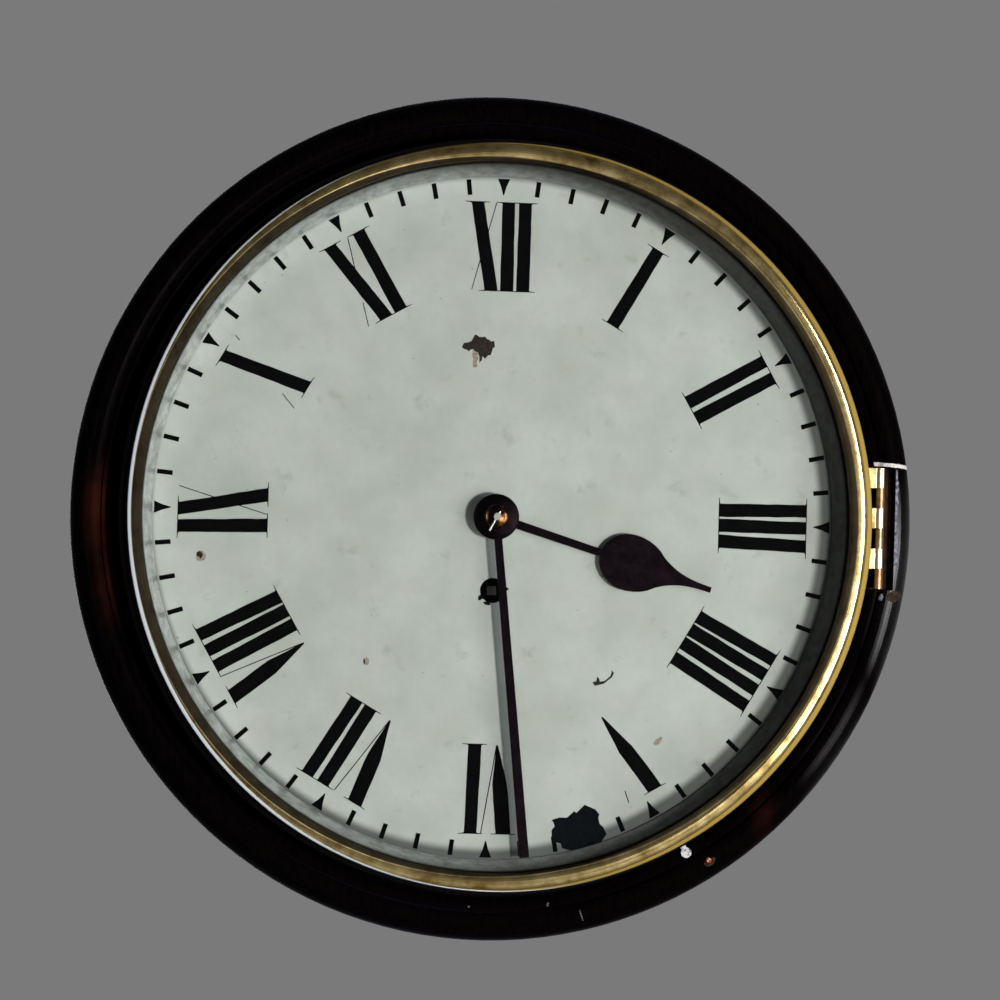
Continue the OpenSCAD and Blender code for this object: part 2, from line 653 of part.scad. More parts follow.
module setup_ratchet() color("#8a8f95") stand() at_barrel() translate([0, 0, ratchet_z]) difference() {
    linear_extrude(2) polygon([for (i = [0:ratchet_teeth - 1]) let(a = i * 360 / ratchet_teeth)
        each [[ratchet_r * cos(a), ratchet_r * sin(a)],
              [(ratchet_r - 1.3) * cos(a + 2), (ratchet_r - 1.3) * sin(a + 2)]]]);
    translate([-1.84, -1.84, -cut]) cube([3.68, 3.68, 4]);
}
// The click lies against the ratchet from its stud beside it
module setup_click() color("#8a8f95") stand() at_barrel() {
    translate([ratchet_r + 4, 6, plate_front + 0.02]) cylinder(r = 1.6, h = 4.4);
    translate([0, 0, ratchet_z]) linear_extrude(2) polygon([[ratchet_r + 4, 4.5], [ratchet_r + 4, 7.5],
        [ratchet_r - 3.4, 9.6], [ratchet_r - 4, 7.9]]);
}

// Straight tube between two points at one height, and a coil whose radius may change
module gut_tube(points, r) {
    sides = 8;
    last = len(points) - 1;
    function along(i) = let(d = points[min(i + 1, last)] - points[max(i - 1, 0)]) d / norm(d);
    function ring_at(i) =
        let(t = along(i), side = cross([0, 0, 1], t), u = side / norm(side), v = cross(t, u))
        [for (k = [0:sides - 1]) points[i] + r * (u * cos(k * 360 / sides) + v * sin(k * 360 / sides))];
    polyhedron(
        points = [for (i = [0:last]) each ring_at(i)],
        faces = concat([[for (k = [sides - 1:-1:0]) k]], [[for (k = [0:sides - 1]) last * sides + k]],
            [for (i = [0:last - 1], k = [0:sides - 1]) [i * sides + k, i * sides + (k + 1) % sides,
                (i + 1) * sides + (k + 1) % sides, (i + 1) * sides + k]]));
}
// Radius of the fusee at a groove, falling fast at first as the spring needs
function fusee_at(u) = 1 / (1 / fusee_wide + (1 / fusee_narrow - 1 / fusee_wide) * u);
function groove_r(g) = fusee_at(g / fusee_turns);
// The line lies on the ridges between the grooves
ridge = 0.5;
function line_r(g) = groove_r(g) + ridge + gut_r + 0.2;
run_r = line_r(run_groove + groove_mid);
coil_steps = 24;
barrel_wind_r = (barrel_r + gut_r + 0.05) / cos(180 / coil_steps);
run_dx = barrel_off;
run_dy = barrel_off - winding_drop;
run_tilt = atan2(run_dy, run_dx) - asin((barrel_wind_r - run_r) / sqrt(run_dx * run_dx + run_dy * run_dy));
up_turn = 90 + run_tilt;
gut_turns = 7;
module gut_on_barrel() color("#b9a27a") stand() at_barrel() gut_tube(
    [for (i = [0:gut_turns * coil_steps]) let(a = up_turn + 20 + 360 * i / coil_steps)
        [barrel_wind_r * cos(a), barrel_wind_r * sin(a), run_z + 2.4 + 1.7 * i / coil_steps]], gut_r);
run_lift = 0.25;
module gut_run() color("#b9a27a") stand() {
    up = [cos(up_turn), sin(up_turn), 0];
    gut_tube([[-barrel_off, -barrel_off, run_z] + (barrel_wind_r + run_lift) * up,
              [0, -winding_drop, run_z] + (run_r + run_lift) * up], gut_r);
}
module gut_on_fusee() color("#b9a27a") stand() translate([0, -winding_drop, 0]) gut_tube(
    [for (i = [0:(run_groove - 1) * coil_steps])
        let(a = up_turn - 40 + 360 * i / coil_steps, g = groove_mid + i / coil_steps, r = line_r(g))
        [r * cos(a), r * sin(a), cone_z + 1 + groove_step * g]], gut_r);

// The fusee with its grooves drawn as rings
fusee_profile = concat([[3 + fit, 0], [fusee_wide + 1.6, 0], [fusee_wide + 1.6, 0.6]],
    [for (g = [0:fusee_turns - 1], q = [0, 0.25, 0.5, 0.75]) let(u = g + q + 0.35,
        dip = q == 0.25 ? 0.55 : q == 0.5 ? 0.7 : q == 0.75 ? 0.5 : 0)
        [groove_r(u) + ridge - dip, 1 + groove_step * u]],
    [[groove_r(fusee_turns) + 0.4, cone_l], [3 + fit, cone_l]]);
module fusee() color("#c9a858") stand() translate([0, -winding_drop, cone_z]) {
    rotate_extrude() polygon(fusee_profile);
    translate([0, 0, cone_l + 0.02]) difference() {
        union() {
            cylinder(r = fusee_narrow + 2, h = 2);
            rotate(20) translate([0, -2, 0]) cube([fusee_narrow + 6, 4, 2]);
        }
        translate([0, 0, -cut]) cylinder(r = 3 + fit, h = 4);
    }
}
module fusee_arbor() color("#77777a") stand() translate([0, -winding_drop, 0]) {
    translate([0, 0, back_out - 1]) cylinder(r = 2, h = plate_t + 1.4);
    translate([0, 0, back_in + 0.4]) cylinder(r = 3, h = plate_front + 2 - back_in - 0.4);
    translate([-2, -2, plate_front + 2]) cube([4, 4, foot_l - 5]);
}
module great_wheel() color("#bf9b47") stand() translate([0, -winding_drop, great_z]) difference() {
    union() {
        wheel_blank(great_teeth, great_m, 90, great_t);
        translate([0, 0, -1.4]) cylinder(r = 8, h = 1.4);
    }
    translate([0, 0, -cut - 2]) cylinder(r = 3 + fit, h = great_t + 6);
}
module stop_lever() color("#8a8f95") stand() translate([stop_x, stop_y, plate_in - 6.6]) {
    rotate([-90, 0, 0]) translate([0, 0, -4.6]) cylinder(r = 0.8, h = 9.2);
    difference() {
        union() {
            translate([0, -2, 0]) rotate([-90, 0, 0]) cylinder(r = 2, h = 4);
            translate([-stop_x + fusee_narrow + 7, -2, -0.7]) cube([stop_x - fusee_narrow - 7, 4, 1.4]);
            translate([-stop_x + fusee_narrow + 7, -2, -0.7]) cube([3, 14, 1.4]);
        }
        translate([0, -3, 0]) rotate([-90, 0, 0]) cylinder(r = 0.82, h = 6);
    }
}

module centre_arbor() color("#77777a") stand() {
    translate([0, 0, back_out - 0.8]) cylinder(r = 1.5, h = plate_t + 1.2);
    translate([0, 0, back_in + 0.4]) cylinder(r = 1.6, h = great_z - back_in);
    translate([0, 0, great_z - 1]) pinion(great_m, 270, great_t + 2);
    translate([0, 0, great_z + great_t + 1]) cylinder(r = 2.2, h = plate_in - 1.4 - great_z - great_t);
    translate([0, 0, plate_in - 0.4]) cylinder(r = arbor_r + 0.4, h = plate_t + 0.6);
    difference() {
        translate([0, 0, plate_front + 0.2]) cylinder(r = arbor_r, h = arbor_tip - plate_front - 0.2);
        translate([0, 0, pin_z]) rotate(pin_turn) translate([-3, 0, 0]) rotate([0, 90, 0])
            cylinder(r = 0.54, h = 6);
    }
}
module centre_wheel() color("#c4a24e") stand() translate([0, 0, centre_z])
    crossed_wheel(centre_teeth, centre_m, third_turn, wheel_t, 2.22, 2.6);

// Arbor between the plates with a pinion and thin pivots
module arbor(z_pinion, l_pinion, m, turn) {
    translate([0, 0, back_out - 0.6]) cylinder(r = pivot_r, h = plate_t + 1);
    translate([0, 0, back_in + 0.4]) cylinder(r = 1.3, h = z_pinion - back_in - 0.4);
    translate([0, 0, z_pinion]) pinion(m, turn, l_pinion);
    translate([0, 0, z_pinion + l_pinion]) cylinder(r = 1.3, h = plate_in - 0.4 - z_pinion - l_pinion);
    translate([0, 0, plate_in - 0.4]) cylinder(r = pivot_r, h = plate_t + 1);
}
module third_arbor() color("#77777a") stand() translate([third_x, third_y, 0])
    arbor(centre_z - 1, wheel_t + 2, centre_m, third_turn + 180);
escape_dir = atan2(escape_y - third_y, -third_x);
module third_wheel() color("#c4a24e") stand() translate([third_x, third_y, third_z])
    crossed_wheel(third_teeth, third_m, escape_dir, wheel_t, 1.32, 2.2);
module escape_arbor() color("#77777a") stand() translate([0, escape_y, 0])
    arbor(third_z - 1, wheel_t + 2, third_m, escape_dir + 180);
escape_outline = [for (i = [0:escape_teeth - 1]) let(s = 360 / escape_teeth, a = 90 - i * s)
    each [[escape_r * cos(a), escape_r * sin(a)],
          [(escape_r - 1.4) * cos(a + 0.28 * s), (escape_r - 1.4) * sin(a + 0.28 * s)],
          [(escape_r - 2.8) * cos(a + 0.72 * s), (escape_r - 2.8) * sin(a + 0.72 * s)],
          [(escape_r - 2.8) * cos(a - 0.04 * s), (escape_r - 2.8) * sin(a - 0.04 * s)]]];
module escape_wheel() color("#c9a858") stand() translate([0, escape_y, escape_z]) difference() {
    linear_extrude(wheel_t) polygon([for (i = [len(escape_outline) - 1:-1:0]) escape_outline[i]]);
    crossings(escape_r - 4.6, 5, 4, 2.2, 45, wheel_t);
    translate([0, 0, -cut]) cylinder(r = 1.32, h = wheel_t + 2 * cut);
}

// The anchor spans a quarter of the escape wheel and stands just clear of its teeth
pallet_r = escape_r + 1.3;
anchor_drop = anchor_y - escape_y;
cock_in = back_out - 9;
module anchor() color("#85888c") stand() translate([0, anchor_y, 0]) {
    difference() {
        translate([0, 0, escape_z - 0.6]) linear_extrude(wheel_t + 1.2) polygon(concat(
            arc(0, 0, 3.6, 3.6, 20, 160, 8),
            [[-escape_r * 0.62, -3.2], [-escape_r * 0.92, -7.2],
             [-(pallet_r + 1.2) * cos(45), -anchor_drop + (pallet_r + 1.2) * sin(45)],
             [-pallet_r * cos(47), -anchor_drop + pallet_r * sin(47)],
             [-pallet_r * cos(54), -anchor_drop + pallet_r * sin(54)],
             [-escape_r * 0.6, -6.2], [-2.4, -3], [2.4, -3], [escape_r * 0.6, -6.2],
             [pallet_r * cos(54), -anchor_drop + pallet_r * sin(54)],
             [pallet_r * cos(47), -anchor_drop + pallet_r * sin(47)],
             [(pallet_r + 1.2) * cos(45), -anchor_drop + (pallet_r + 1.2) * sin(45)],
             [escape_r * 0.92, -7.2], [escape_r * 0.62, -3.2]]));
        translate([0, 0, escape_z - cut]) cylinder(r = 1.45, h = wheel_t + 4);
    }
    translate([0, 0, cock_in - 2.4]) cylinder(r = pivot_r, h = 3);
    translate([0, 0, cock_in + 0.4]) cylinder(r = 1.5, h = plate_in - 0.8 - cock_in);
    translate([0, 0, plate_in - 0.4]) cylinder(r = pivot_r, h = plate_t + 1);
}
crutch_z = back_out - 5;
crutch_l = 42;
fork_w = 9;
fork_h = 6;
fork_t = 2.4;
module crutch() color("#85888c") stand() translate([0, anchor_y, 0]) difference() {
    union() {
        translate([0, 0, crutch_z]) cylinder(r = 4, h = 3);
        translate([-2, -crutch_l, crutch_z]) cube([4, crutch_l, 2]);
        translate([-fork_w / 2, -crutch_l - 4, crutch_z]) cube([fork_w, fork_h, 2]);
        for (s = [-1, 1])
            translate([s * (rod_r + gap + fork_t / 2) - fork_t / 2, -crutch_l - 4, pendulum_z - 4])
                cube([fork_t, fork_h, crutch_z - pendulum_z + 5]);
    }
    translate([0, 0, crutch_z - cut]) cylinder(r = 1.54, h = 6);
}
cock_w = 30;
spring_w = 6;
spring_t = 0.3;
// The cock bridges the back pivot of the anchor and clamps the top of the suspension spring
module back_cock() color("#b8963f") stand() translate([0, anchor_y, 0]) {
    difference() {
        union() {
            translate([-cock_w, -6, cock_in - 3]) cube([2 * cock_w, 12, 3]);
            for (s = [-1, 1]) translate([s * (cock_w - 4) - 4, -6, cock_in])
                cube([8, 12, back_out - cock_in]);
            translate([-5, 1.5, pendulum_z - spring_w / 2])
                cube([10, 4.5, cock_in - 2 - pendulum_z + spring_w / 2]);
        }
        translate([0, 0, cock_in - 4]) cylinder(r = pivot_r + fit, h = 5);
        translate([-0.4, 0, pendulum_z - spring_w]) cube([0.8, 10, spring_w * 1.5]);
    }
    translate([0, 0, pendulum_z - spring_w / 2]) {
        translate([-spring_t / 2, gap, 0]) cube([spring_t, 6, spring_w]);
        translate([-2.2, 6.02, 0]) cube([4.4, 2.4, spring_w]);
    }
}
// The part of the spring below the bending point swings with the rod
module suspension_spring() color("#6d7680") stand() translate([0, anchor_y, pendulum_z])
    translate([-spring_t / 2, -9.3, -spring_w / 2]) cube([spring_t, 9.3, spring_w]);
module pendulum_rod() color("#8d8f92") stand() translate([0, anchor_y, pendulum_z]) {
    difference() {
        translate([-2.2, -16, -spring_w / 2 + 0.2]) cube([4.4, 8, spring_w - 0.4]);
        translate([-0.25, -11, -spring_w]) cube([0.5, 6, 2 * spring_w]);
    }
    translate([0, -15.5, 0]) rotate([90, 0, 0]) cylinder(r = rod_r, h = anchor_y - 15.5 - rod_low);
}
module bob_half() {
    cap_h = bob_t / 2;
    ball = (bob_r * bob_r + cap_h * cap_h) / (2 * cap_h);
    edge = asin(bob_r / ball);
    rotate_extrude($fn = 96) polygon(concat([[0, 0], [bob_r, 0]],
        [for (i = [0:14]) let(a = edge * (1 - i / 14))
            [ball * sin(a), 0.4 + ball * cos(a) - ball + cap_h]]));
}
module pendulum_bob() color("#a8883c") stand() translate([0, bob_y, pendulum_z]) difference() {
    union() {
        bob_half();
        mirror([0, 0, 1]) bob_half();
    }
    translate([0, bob_r + cut, 0]) rotate([90, 0, 0]) cylinder(r = rod_r + fit, h = 2 * bob_r + 2 * cut);
}
module rating_nut() color("#b8963f") stand() translate([0, nut_y + nut_h, pendulum_z]) rotate([90, 0, 0])
    difference() {
        union() {
            cylinder(r = 3.4, h = nut_h);
            translate([0, 0, 1.2]) linear_extrude(2.6) polygon([for (i = [0:23])
                let(r = i % 2 == 0 ? 5 : 4.5) [r * cos(i * 15), r * sin(i * 15)]]);
        }
        translate([0, 0, -cut]) cylinder(r = rod_r + fit, h = nut_h + 2 * cut);
    }

module cannon_wheel() color("#c9a858") stand() difference() {
    union() {
        translate([0, 0, cannon_z]) wheel_blank(cannon_teeth, cannon_m, motion_turn, wheel_t);
        translate([0, 0, cannon_z - 0.8]) cylinder(r = cannon_r, h = minute_hand_z - cannon_z + 0.8);
        translate([-1.75, -1.75, cannon_z]) cube([3.5, 3.5, minute_hand_z + hand_t - cannon_z]);
    }
    translate([0, 0, cannon_z - 2]) cylinder(r = arbor_r + 0.03, h = 40);
}
bridge_foot = 18;
module motion_bridge() color("#b8963f") stand() rotate(motion_turn - 90) difference() {
    union() {
        translate([-bridge_foot - 4, -4, bridge_z]) cube([2 * bridge_foot + 8, 8, bridge_t]);
        for (s = [-1, 1]) translate([s * bridge_foot - 4, -4, plate_front])
            cube([8, 8, bridge_z - plate_front]);
        translate([0, 0, bridge_z]) cylinder(r = bridge_r, h = dial_z - bridge_z);
    }
    translate([0, 0, bridge_z - cut]) cylinder(r = cannon_r + 0.25, h = 40);
}
module minute_wheel() color("#c9a858") stand() translate([stud_x, stud_y, 0]) difference() {
    union() {
        translate([0, 0, cannon_z])
            wheel_blank(cannon_teeth, cannon_m, motion_turn + 180 + 180 / cannon_teeth, wheel_t);
        translate([0, 0, cannon_z + wheel_t]) linear_extrude(hour_z + 2 - cannon_z - wheel_t)
            polygon(gear_outline(leaves, hour_m, motion_turn + 180 + 180 / leaves, 0.34, 0.5, 1.2));
    }
    translate([0, 0, cannon_z - cut]) cylinder(r = stud_r + fit, h = 20);
}
module hour_wheel() color("#c4a24e") stand() translate([0, 0, hour_z]) {
    difference() {
        union() {
            wheel_blank(hour_teeth, hour_m, motion_turn, 1.5);
            cylinder(r = pipe_r, h = hour_hand_z - hour_z);
            cylinder(r = pipe_r - 0.5, h = hour_hand_z + hand_t - hour_z);
        }
        translate([0, 0, -cut]) cylinder(r = bridge_r + fit, h = 30);
    }
}

// Outline of the spade hand, half width against distance from the centre
tip_w = 1.25;
stalk_w = 1.65;
spade_cut = 35;
spade_start = 172;
// The spade is an egg, longer towards the tip, that runs out into a fine point
function spade_edge(a) =
    [spade_at + spade_r * (a > 90 ? 1.08 : 1.37) * cos(a), spade_r * sin(a)];
spade_end = spade_edge(spade_cut)[0];
function spade_half(u) = tip_w + (spade_r * sin(spade_cut) - tip_w) * pow(1 - u, 2.75);
hour_edge = concat(
    [[0, stalk_w * 1.15], [spade_at - spade_r * 1.08, stalk_w]],
    [for (i = [0:12]) spade_edge(spade_start - (spade_start - spade_cut) * i / 12)],
    [for (i = [1:12]) let(u = i / 12) [spade_end + (hour_l - spade_end) * u, spade_half(u)]]);
module hour_hand() color("#17151c") stand() rotate(90 - hour_angle) difference() {
    translate([0, 0, hour_hand_z]) {
        linear_extrude(hand_t) polygon(concat(hour_edge,
            [for (i = [len(hour_edge) - 1:-1:0]) [hour_edge[i][0], -hour_edge[i][1]]]));
        cylinder(r = boss_r - 0.6, h = hand_t);
    }
    translate([0, 0, hour_hand_z - cut]) cylinder(r = pipe_r - 0.47, h = hand_t + 2 * cut);
}
module minute_hand() color("#17151c") stand() rotate(90 - minute_angle) difference() {
    union() {
        translate([0, 0, minute_hand_z]) linear_extrude(hand_t)
            polygon([[0, -minute_w * 0.5], [minute_l, -minute_w * 0.62], [minute_l, minute_w * 0.62],
                     [0, minute_w * 0.5]]);
        translate([0, 0, minute_hand_z]) rotate_extrude() polygon(concat(
            [[0, 0], [boss_r, 0], [boss_r, 0.5]],
            arc(0, 0.5, boss_r, hand_t + 0.5, 8, 56, 6), [[0, hand_t + 0.92]]));
    }
    rotate(minute_angle - 90) translate([-1.8, -1.8, minute_hand_z - cut]) cube([3.6, 3.6, 10]);
}
module hand_collet() color("#9a6a3c") stand() translate([0, 0, collet_z + 0.95]) difference() {
    rotate_extrude() polygon(concat([[0, 0], [5.4, 0], [5.4, 0.3]],
        arc(0, 0.3, 5.4, collet_h - 1.2, 8, 90, 8)));
    translate([0, 0, -cut]) cylinder(r = arbor_r + 0.03, h = 8);
}
module taper_pin() color("#d8d8d4") stand() translate([0, 0, pin_z]) rotate(pin_turn)
    translate([-2.6, 0, 0]) rotate([0, 90, 0]) cylinder(r1 = 0.34, r2 = 0.5, h = 9.6);

back_board();
hanging_plate();
slotted_screws();
case_box();
case_pegs();
surround_rails();
side_door();
side_door_leaves();
side_door_button();
bottom_door();
bottom_door_leaves();
bottom_door_button();
door_hinges();
surround();
dial();
dial_feet();
bezel();
sight_ring();
glass();
bezel_hinge();
bezel_hinge_leaf();
bezel_lug();
bezel_pin();
back_plate();
front_plate();
pillars();
barrel();
barrel_cap();
barrel_arbor();
mainspring();
setup_ratchet();
setup_click();
gut_on_barrel();
gut_run();
gut_on_fusee();
fusee();
fusee_arbor();
great_wheel();
stop_lever();
centre_arbor();
centre_wheel();
third_arbor();
third_wheel();
escape_arbor();
escape_wheel();
anchor();
crutch();
back_cock();
suspension_spring();
pendulum_rod();
pendulum_bob();
rating_nut();
cannon_wheel();
motion_bridge();
minute_wheel();
hour_wheel();
hour_hand();
minute_hand();
hand_collet();
taper_pin();
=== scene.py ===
"""Looks of a round schoolhouse wall clock, built around its fixed CAD frame.

The frame is in metres, with the wall at y = 0, the front towards minus y and the dial centre at the origin.
"""

import logging
import math
import random
from dataclasses import dataclass
from enum import Enum
from typing import Sequence

import bmesh
import bpy
from mathutils import Matrix, Vector


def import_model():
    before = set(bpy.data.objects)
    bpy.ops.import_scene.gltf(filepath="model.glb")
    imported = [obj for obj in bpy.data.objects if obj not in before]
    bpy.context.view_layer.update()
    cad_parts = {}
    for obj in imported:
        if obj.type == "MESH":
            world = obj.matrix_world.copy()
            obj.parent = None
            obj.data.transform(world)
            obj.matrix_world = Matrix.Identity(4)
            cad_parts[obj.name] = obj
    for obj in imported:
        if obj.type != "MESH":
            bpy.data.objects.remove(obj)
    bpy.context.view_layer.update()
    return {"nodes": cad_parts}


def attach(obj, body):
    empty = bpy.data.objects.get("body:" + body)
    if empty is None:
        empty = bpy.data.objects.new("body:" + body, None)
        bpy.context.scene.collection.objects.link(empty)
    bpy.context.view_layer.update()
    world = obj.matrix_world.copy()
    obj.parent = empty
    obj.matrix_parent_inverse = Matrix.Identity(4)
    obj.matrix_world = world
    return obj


LOG = logging.getLogger("clock")
MM = 0.001
Mesh = bmesh.types.BMesh
Pair = tuple[float, float]
Socket = bpy.types.NodeSocket
Stops = Sequence[tuple[float, str]]
Tree = bpy.types.NodeTree

# Depths from the wall and radii from the dial's centre in millimetres, as in the part
DIAL_FACE = 107.5
ROLL_CENTRE_R = 175.725
ROLL_CENTRE_Z = 104.0
ROLL_HALF_W = 8.775
ROLL_HALF_H = 14.1
# Paint and flakes start a little over the dial, so that no two faces share a plane
PAINT_BACK = DIAL_FACE + 0.005
FLAKE_BACK = DIAL_FACE + 0.004

# Index of refraction of spirit varnish and of oil paint
VARNISH_IOR = 1.5
PAINT_IOR = 1.45


class Body(Enum):
    """Bodies of the frame that new pieces ride on."""

    CASE = "case"


class Zone(Enum):
    """Where metal is dull or painted in shade: nowhere, beyond a radius, or to one side of an upright line."""

    NONE = "none"
    OUTSIDE = "outside"
    LEFT = "left"
    RIGHT = "right"


class Stroke(Enum):
    """Kinds of brush stroke in a painted numeral."""

    THICK = "thick"
    HAIR = "hair"
    WEDGE = "wedge"


def linear(hex_colour: str) -> tuple[float, float, float, float]:
    """Turns an sRGB hex colour into linear light.

    Args:
        hex_colour: Six hex digits after a hash.

    Returns:
        Red, green, blue and an alpha of one.
    """
    parts = [int(hex_colour[i : i + 2], 16) / 255 for i in (1, 3, 5)]
    light = [c / 12.92 if c <= 0.04045 else ((c + 0.055) / 1.055) ** 2.4 for c in parts]
    return (light[0], light[1], light[2], 1.0)


def add_node(
    tree: Tree, kind: str, inputs: dict | None = None, out: int | str = 0, stops: Stops | None = None,
    **settings: object,
) -> Socket | None:
    """Adds a node with its settings, values, links and colour stops.

    Args:
        tree: The material's or world's node tree.
        kind: Node type after the word ShaderNode.
        inputs: Socket name or number against a value, a hex colour or a socket to link from.
        out: Name or number of the output to give back.
        stops: Positions and hex colours, for a colour ramp only.
        settings: Properties of the node.

    Returns:
        That output, or nothing where the node has no outputs.
    """
    node = tree.nodes.new("ShaderNode" + kind)
    for name, value in settings.items():
        setattr(node, name, value)
    if stops is not None:
        ramp = node.color_ramp
        while len(ramp.elements) < len(stops):
            ramp.elements.new(0.5)
        for element, (place, colour) in zip(ramp.elements, stops):
            element.position = place
            element.color = linear(colour)
    for socket, value in (inputs or {}).items():
        if isinstance(value, Socket):
            tree.links.new(value, node.inputs[socket])
        else:
            node.inputs[socket].default_value = linear(value) if isinstance(value, str) else value
    return node.outputs[out] if node.outputs else None


def scale_of(size_mm: float) -> float:
    """Gives the scale of a pattern whose marks are that many millimetres across."""
    return 1 / (size_mm * MM)


def surface(tree: Tree, height: Socket, strength: float, deep_mm: float, look: dict) -> Socket:
    """Ends a finish with a relief, so many millimetres deep, and the skin over it, and gives its shader."""
    relief = add_node(tree, "Bump", {"Height": height, "Strength": strength, "Distance": deep_mm * MM})
    return add_node(tree, "BsdfPrincipled", {**look, "Normal": relief})


def from_centre(tree: Tree, place: Socket, centre: Pair, slim: float = 1.0) -> Socket:
    """Gives the distance from an axis that runs front to back.

    Args:
        tree: Node tree of the finish.
        place: Object coordinates.
        centre: Millimetres right and up of the axis.
        slim: How many times over a distance sideways counts.

    Returns:
        Socket with the distance in metres.
    """
    moved = (-centre[0] * MM * slim, 0, -centre[1] * MM)
    flat = add_node(tree, "Mapping", {"Vector": place, "Location": moved, "Scale": (slim, 0.0, 1.0)})
    return add_node(tree, "VectorMath", {0: flat}, "Value", operation="LENGTH")


@dataclass(frozen=True)
class PaintedLightAndDirt:
    """Colour laid beyond a circle, or within it: painted shade, painted highlights and dirt. The circle
    needn't share the dial's centre. Millimetres.
    """

    centre: Pair
    radius: float
    soft: float
    tone: str
    most: float = 1.0
    within: bool = False

    def share(self, tree: Tree, place: Socket) -> Socket:
        """Gives how far the laid colour hides the surface.

        Args:
            tree: Node tree of the finish.
            place: Object coordinates.

        Returns:
            Socket that runs from zero to the most.
        """
        near, far = (self.most, 0.0) if self.within else (0.0, self.most)
        span = {
            "Value": from_centre(tree, place, self.centre),
            "From Min": (self.radius - self.soft) * MM,
            "From Max": (self.radius + self.soft) * MM,
            "To Min": near,
            "To Max": far,
        }
        return add_node(tree, "MapRange", span, interpolation_type="SMOOTHSTEP")


@dataclass(frozen=True)
class Rub:
    """A soft upright patch on polished wood: its middle in millimetres right and up, and its half height."""

    right: float
    up: float
    reach: float
    strength: float = 1.0
    slim: float = 2.6

    def share(self, tree: Tree, place: Socket) -> Socket:
        """Gives how strong the patch is.

        Args:
            tree: Node tree of the finish.
            place: Object coordinates.

        Returns:
            Socket that runs from the strength in the middle to zero.
        """
        span = {
            "Value": from_centre(tree, place, (self.right, self.up), self.slim),
            "From Max": self.reach * MM,
            "To Min": self.strength,
            "To Max": 0.0,
        }
        return add_node(tree, "MapRange", span, interpolation_type="SMOOTHSTEP")


def all_of(tree: Tree, place: Socket, patches: Sequence[Rub]) -> Socket:
    """Adds up soft patches.

    Args:
        tree: Node tree of the finish.
        place: Object coordinates.
        patches: The patches, one at least.

    Returns:
        Socket with the sum of the patches.
    """
    shares = [patch.share(tree, place) for patch in patches]
    total = shares[0]
    for share in shares[1:]:
        total = add_node(tree, "Math", {0: total, 1: share}, operation="ADD")
    return total


@dataclass(frozen=True)
class Finish:
    """A finish, kept as one Blender material of the same name."""

    name: str

    def material(self) -> bpy.types.Material:
        """Gives the material, made the first time it is asked for.

        Returns:
            The material, with its nodes.
        """
        found = bpy.data.materials.get(self.name)
        if found is not None:
            return found
        made = bpy.data.materials.new(self.name)
        made.use_nodes = True
        made.node_tree.nodes.clear()
        add_node(made.node_tree, "OutputMaterial", {"Surface": self.shade(made.node_tree)})
        return made

    def shade(self, tree: Tree) -> Socket:
        """Builds the nodes of the finish and gives the shader socket to show."""
        raise NotImplementedError


@dataclass(frozen=True)
class PolishedWood(Finish):
    """Turned and french polished mahogany: fine streaks under a thin gloss, with rubs and brown wear."""

    dark: str = "#020202"
    warm: str = "#080404"
    rubbed: str = "#3a190d"
    gloss: float = 0.22
    mirror: float = 0.32
    grain_mm: float = 1.4
    grain_stretch: float = 0.08
    wear_mm: float = 35.0
    rubbed_share: float = 0.70
    rubs: tuple[Rub, ...] = ()
    gleams: tuple[Rub, ...] = ()
    gleam_mirror: float = 0.3
    bloom: float = 0.0
    bloom_tone: str = "#7d78b4"

    def shade(self, tree: Tree) -> Socket:
        """Streaked dark wood, worn brown in places.

        Args:
            tree: Empty node tree of the new material.

        Returns:
            The shader socket to show.
        """
        place = add_node(tree, "TexCoord", out="Object")
        # The plank's grain runs up the clock, so the pattern is drawn out along z
        drawn = add_node(tree, "Mapping", {"Vector": place, "Scale": (1.0, 1.0, self.grain_stretch)})
        grain = add_node(
            tree, "TexNoise",
            {"Vector": drawn, "Scale": scale_of(self.grain_mm), "Detail": 8.0, "Roughness": 0.62},
        )
        body = add_node(tree, "ValToRGB", {"Fac": grain}, stops=[(0.35, self.dark), (0.62, self.warm)])
        # Handling has worn the stain thin over spans of some centimetres
        wear = add_node(
            tree, "TexNoise",
            {"Vector": place, "Scale": scale_of(self.wear_mm), "Detail": 9.0, "Roughness": 0.7},
        )
        bare = add_node(
            tree, "MapRange",
            {"Value": wear, "From Min": self.rubbed_share, "From Max": self.rubbed_share + 0.14},
        )
        if self.rubs:
            broken = add_node(tree, "MapRange", {"Value": wear, "From Min": 0.36, "From Max": 0.58})
            rubs = all_of(tree, place, self.rubs)
            rubbed = add_node(tree, "Math", {0: rubs, 1: broken}, operation="MULTIPLY", use_clamp=True)
            bare = add_node(tree, "Math", {0: bare, 1: rubbed}, operation="MAXIMUM")
        tone = add_node(tree, "MixRGB", {"Fac": bare, "Color1": body, "Color2": self.rubbed})
        low, high = self.gloss * 0.8, self.gloss * 1.5
        rough = add_node(
            tree, "MapRange", {"Value": wear, "From Min": 0.3, "From Max": 0.7, "To Min": low, "To Max": high}
        )
        mirror: float | Socket = self.mirror
        if self.gleams:
            # Soot has dulled the polish all round but where hands open the bezel
            gleam = {
                "Value": all_of(tree, place, self.gleams), "To Min": self.mirror, "To Max": self.gleam_mirror,
            }
            mirror = add_node(tree, "MapRange", gleam)
        look = {
            "Base Color": tone, "Roughness": rough, "IOR": VARNISH_IOR, "Specular IOR Level": mirror,
            "Sheen Weight": self.bloom, "Sheen Roughness": 0.35, "Sheen Tint": self.bloom_tone,
        }
        return surface(tree, grain, 0.2, 0.15, look)


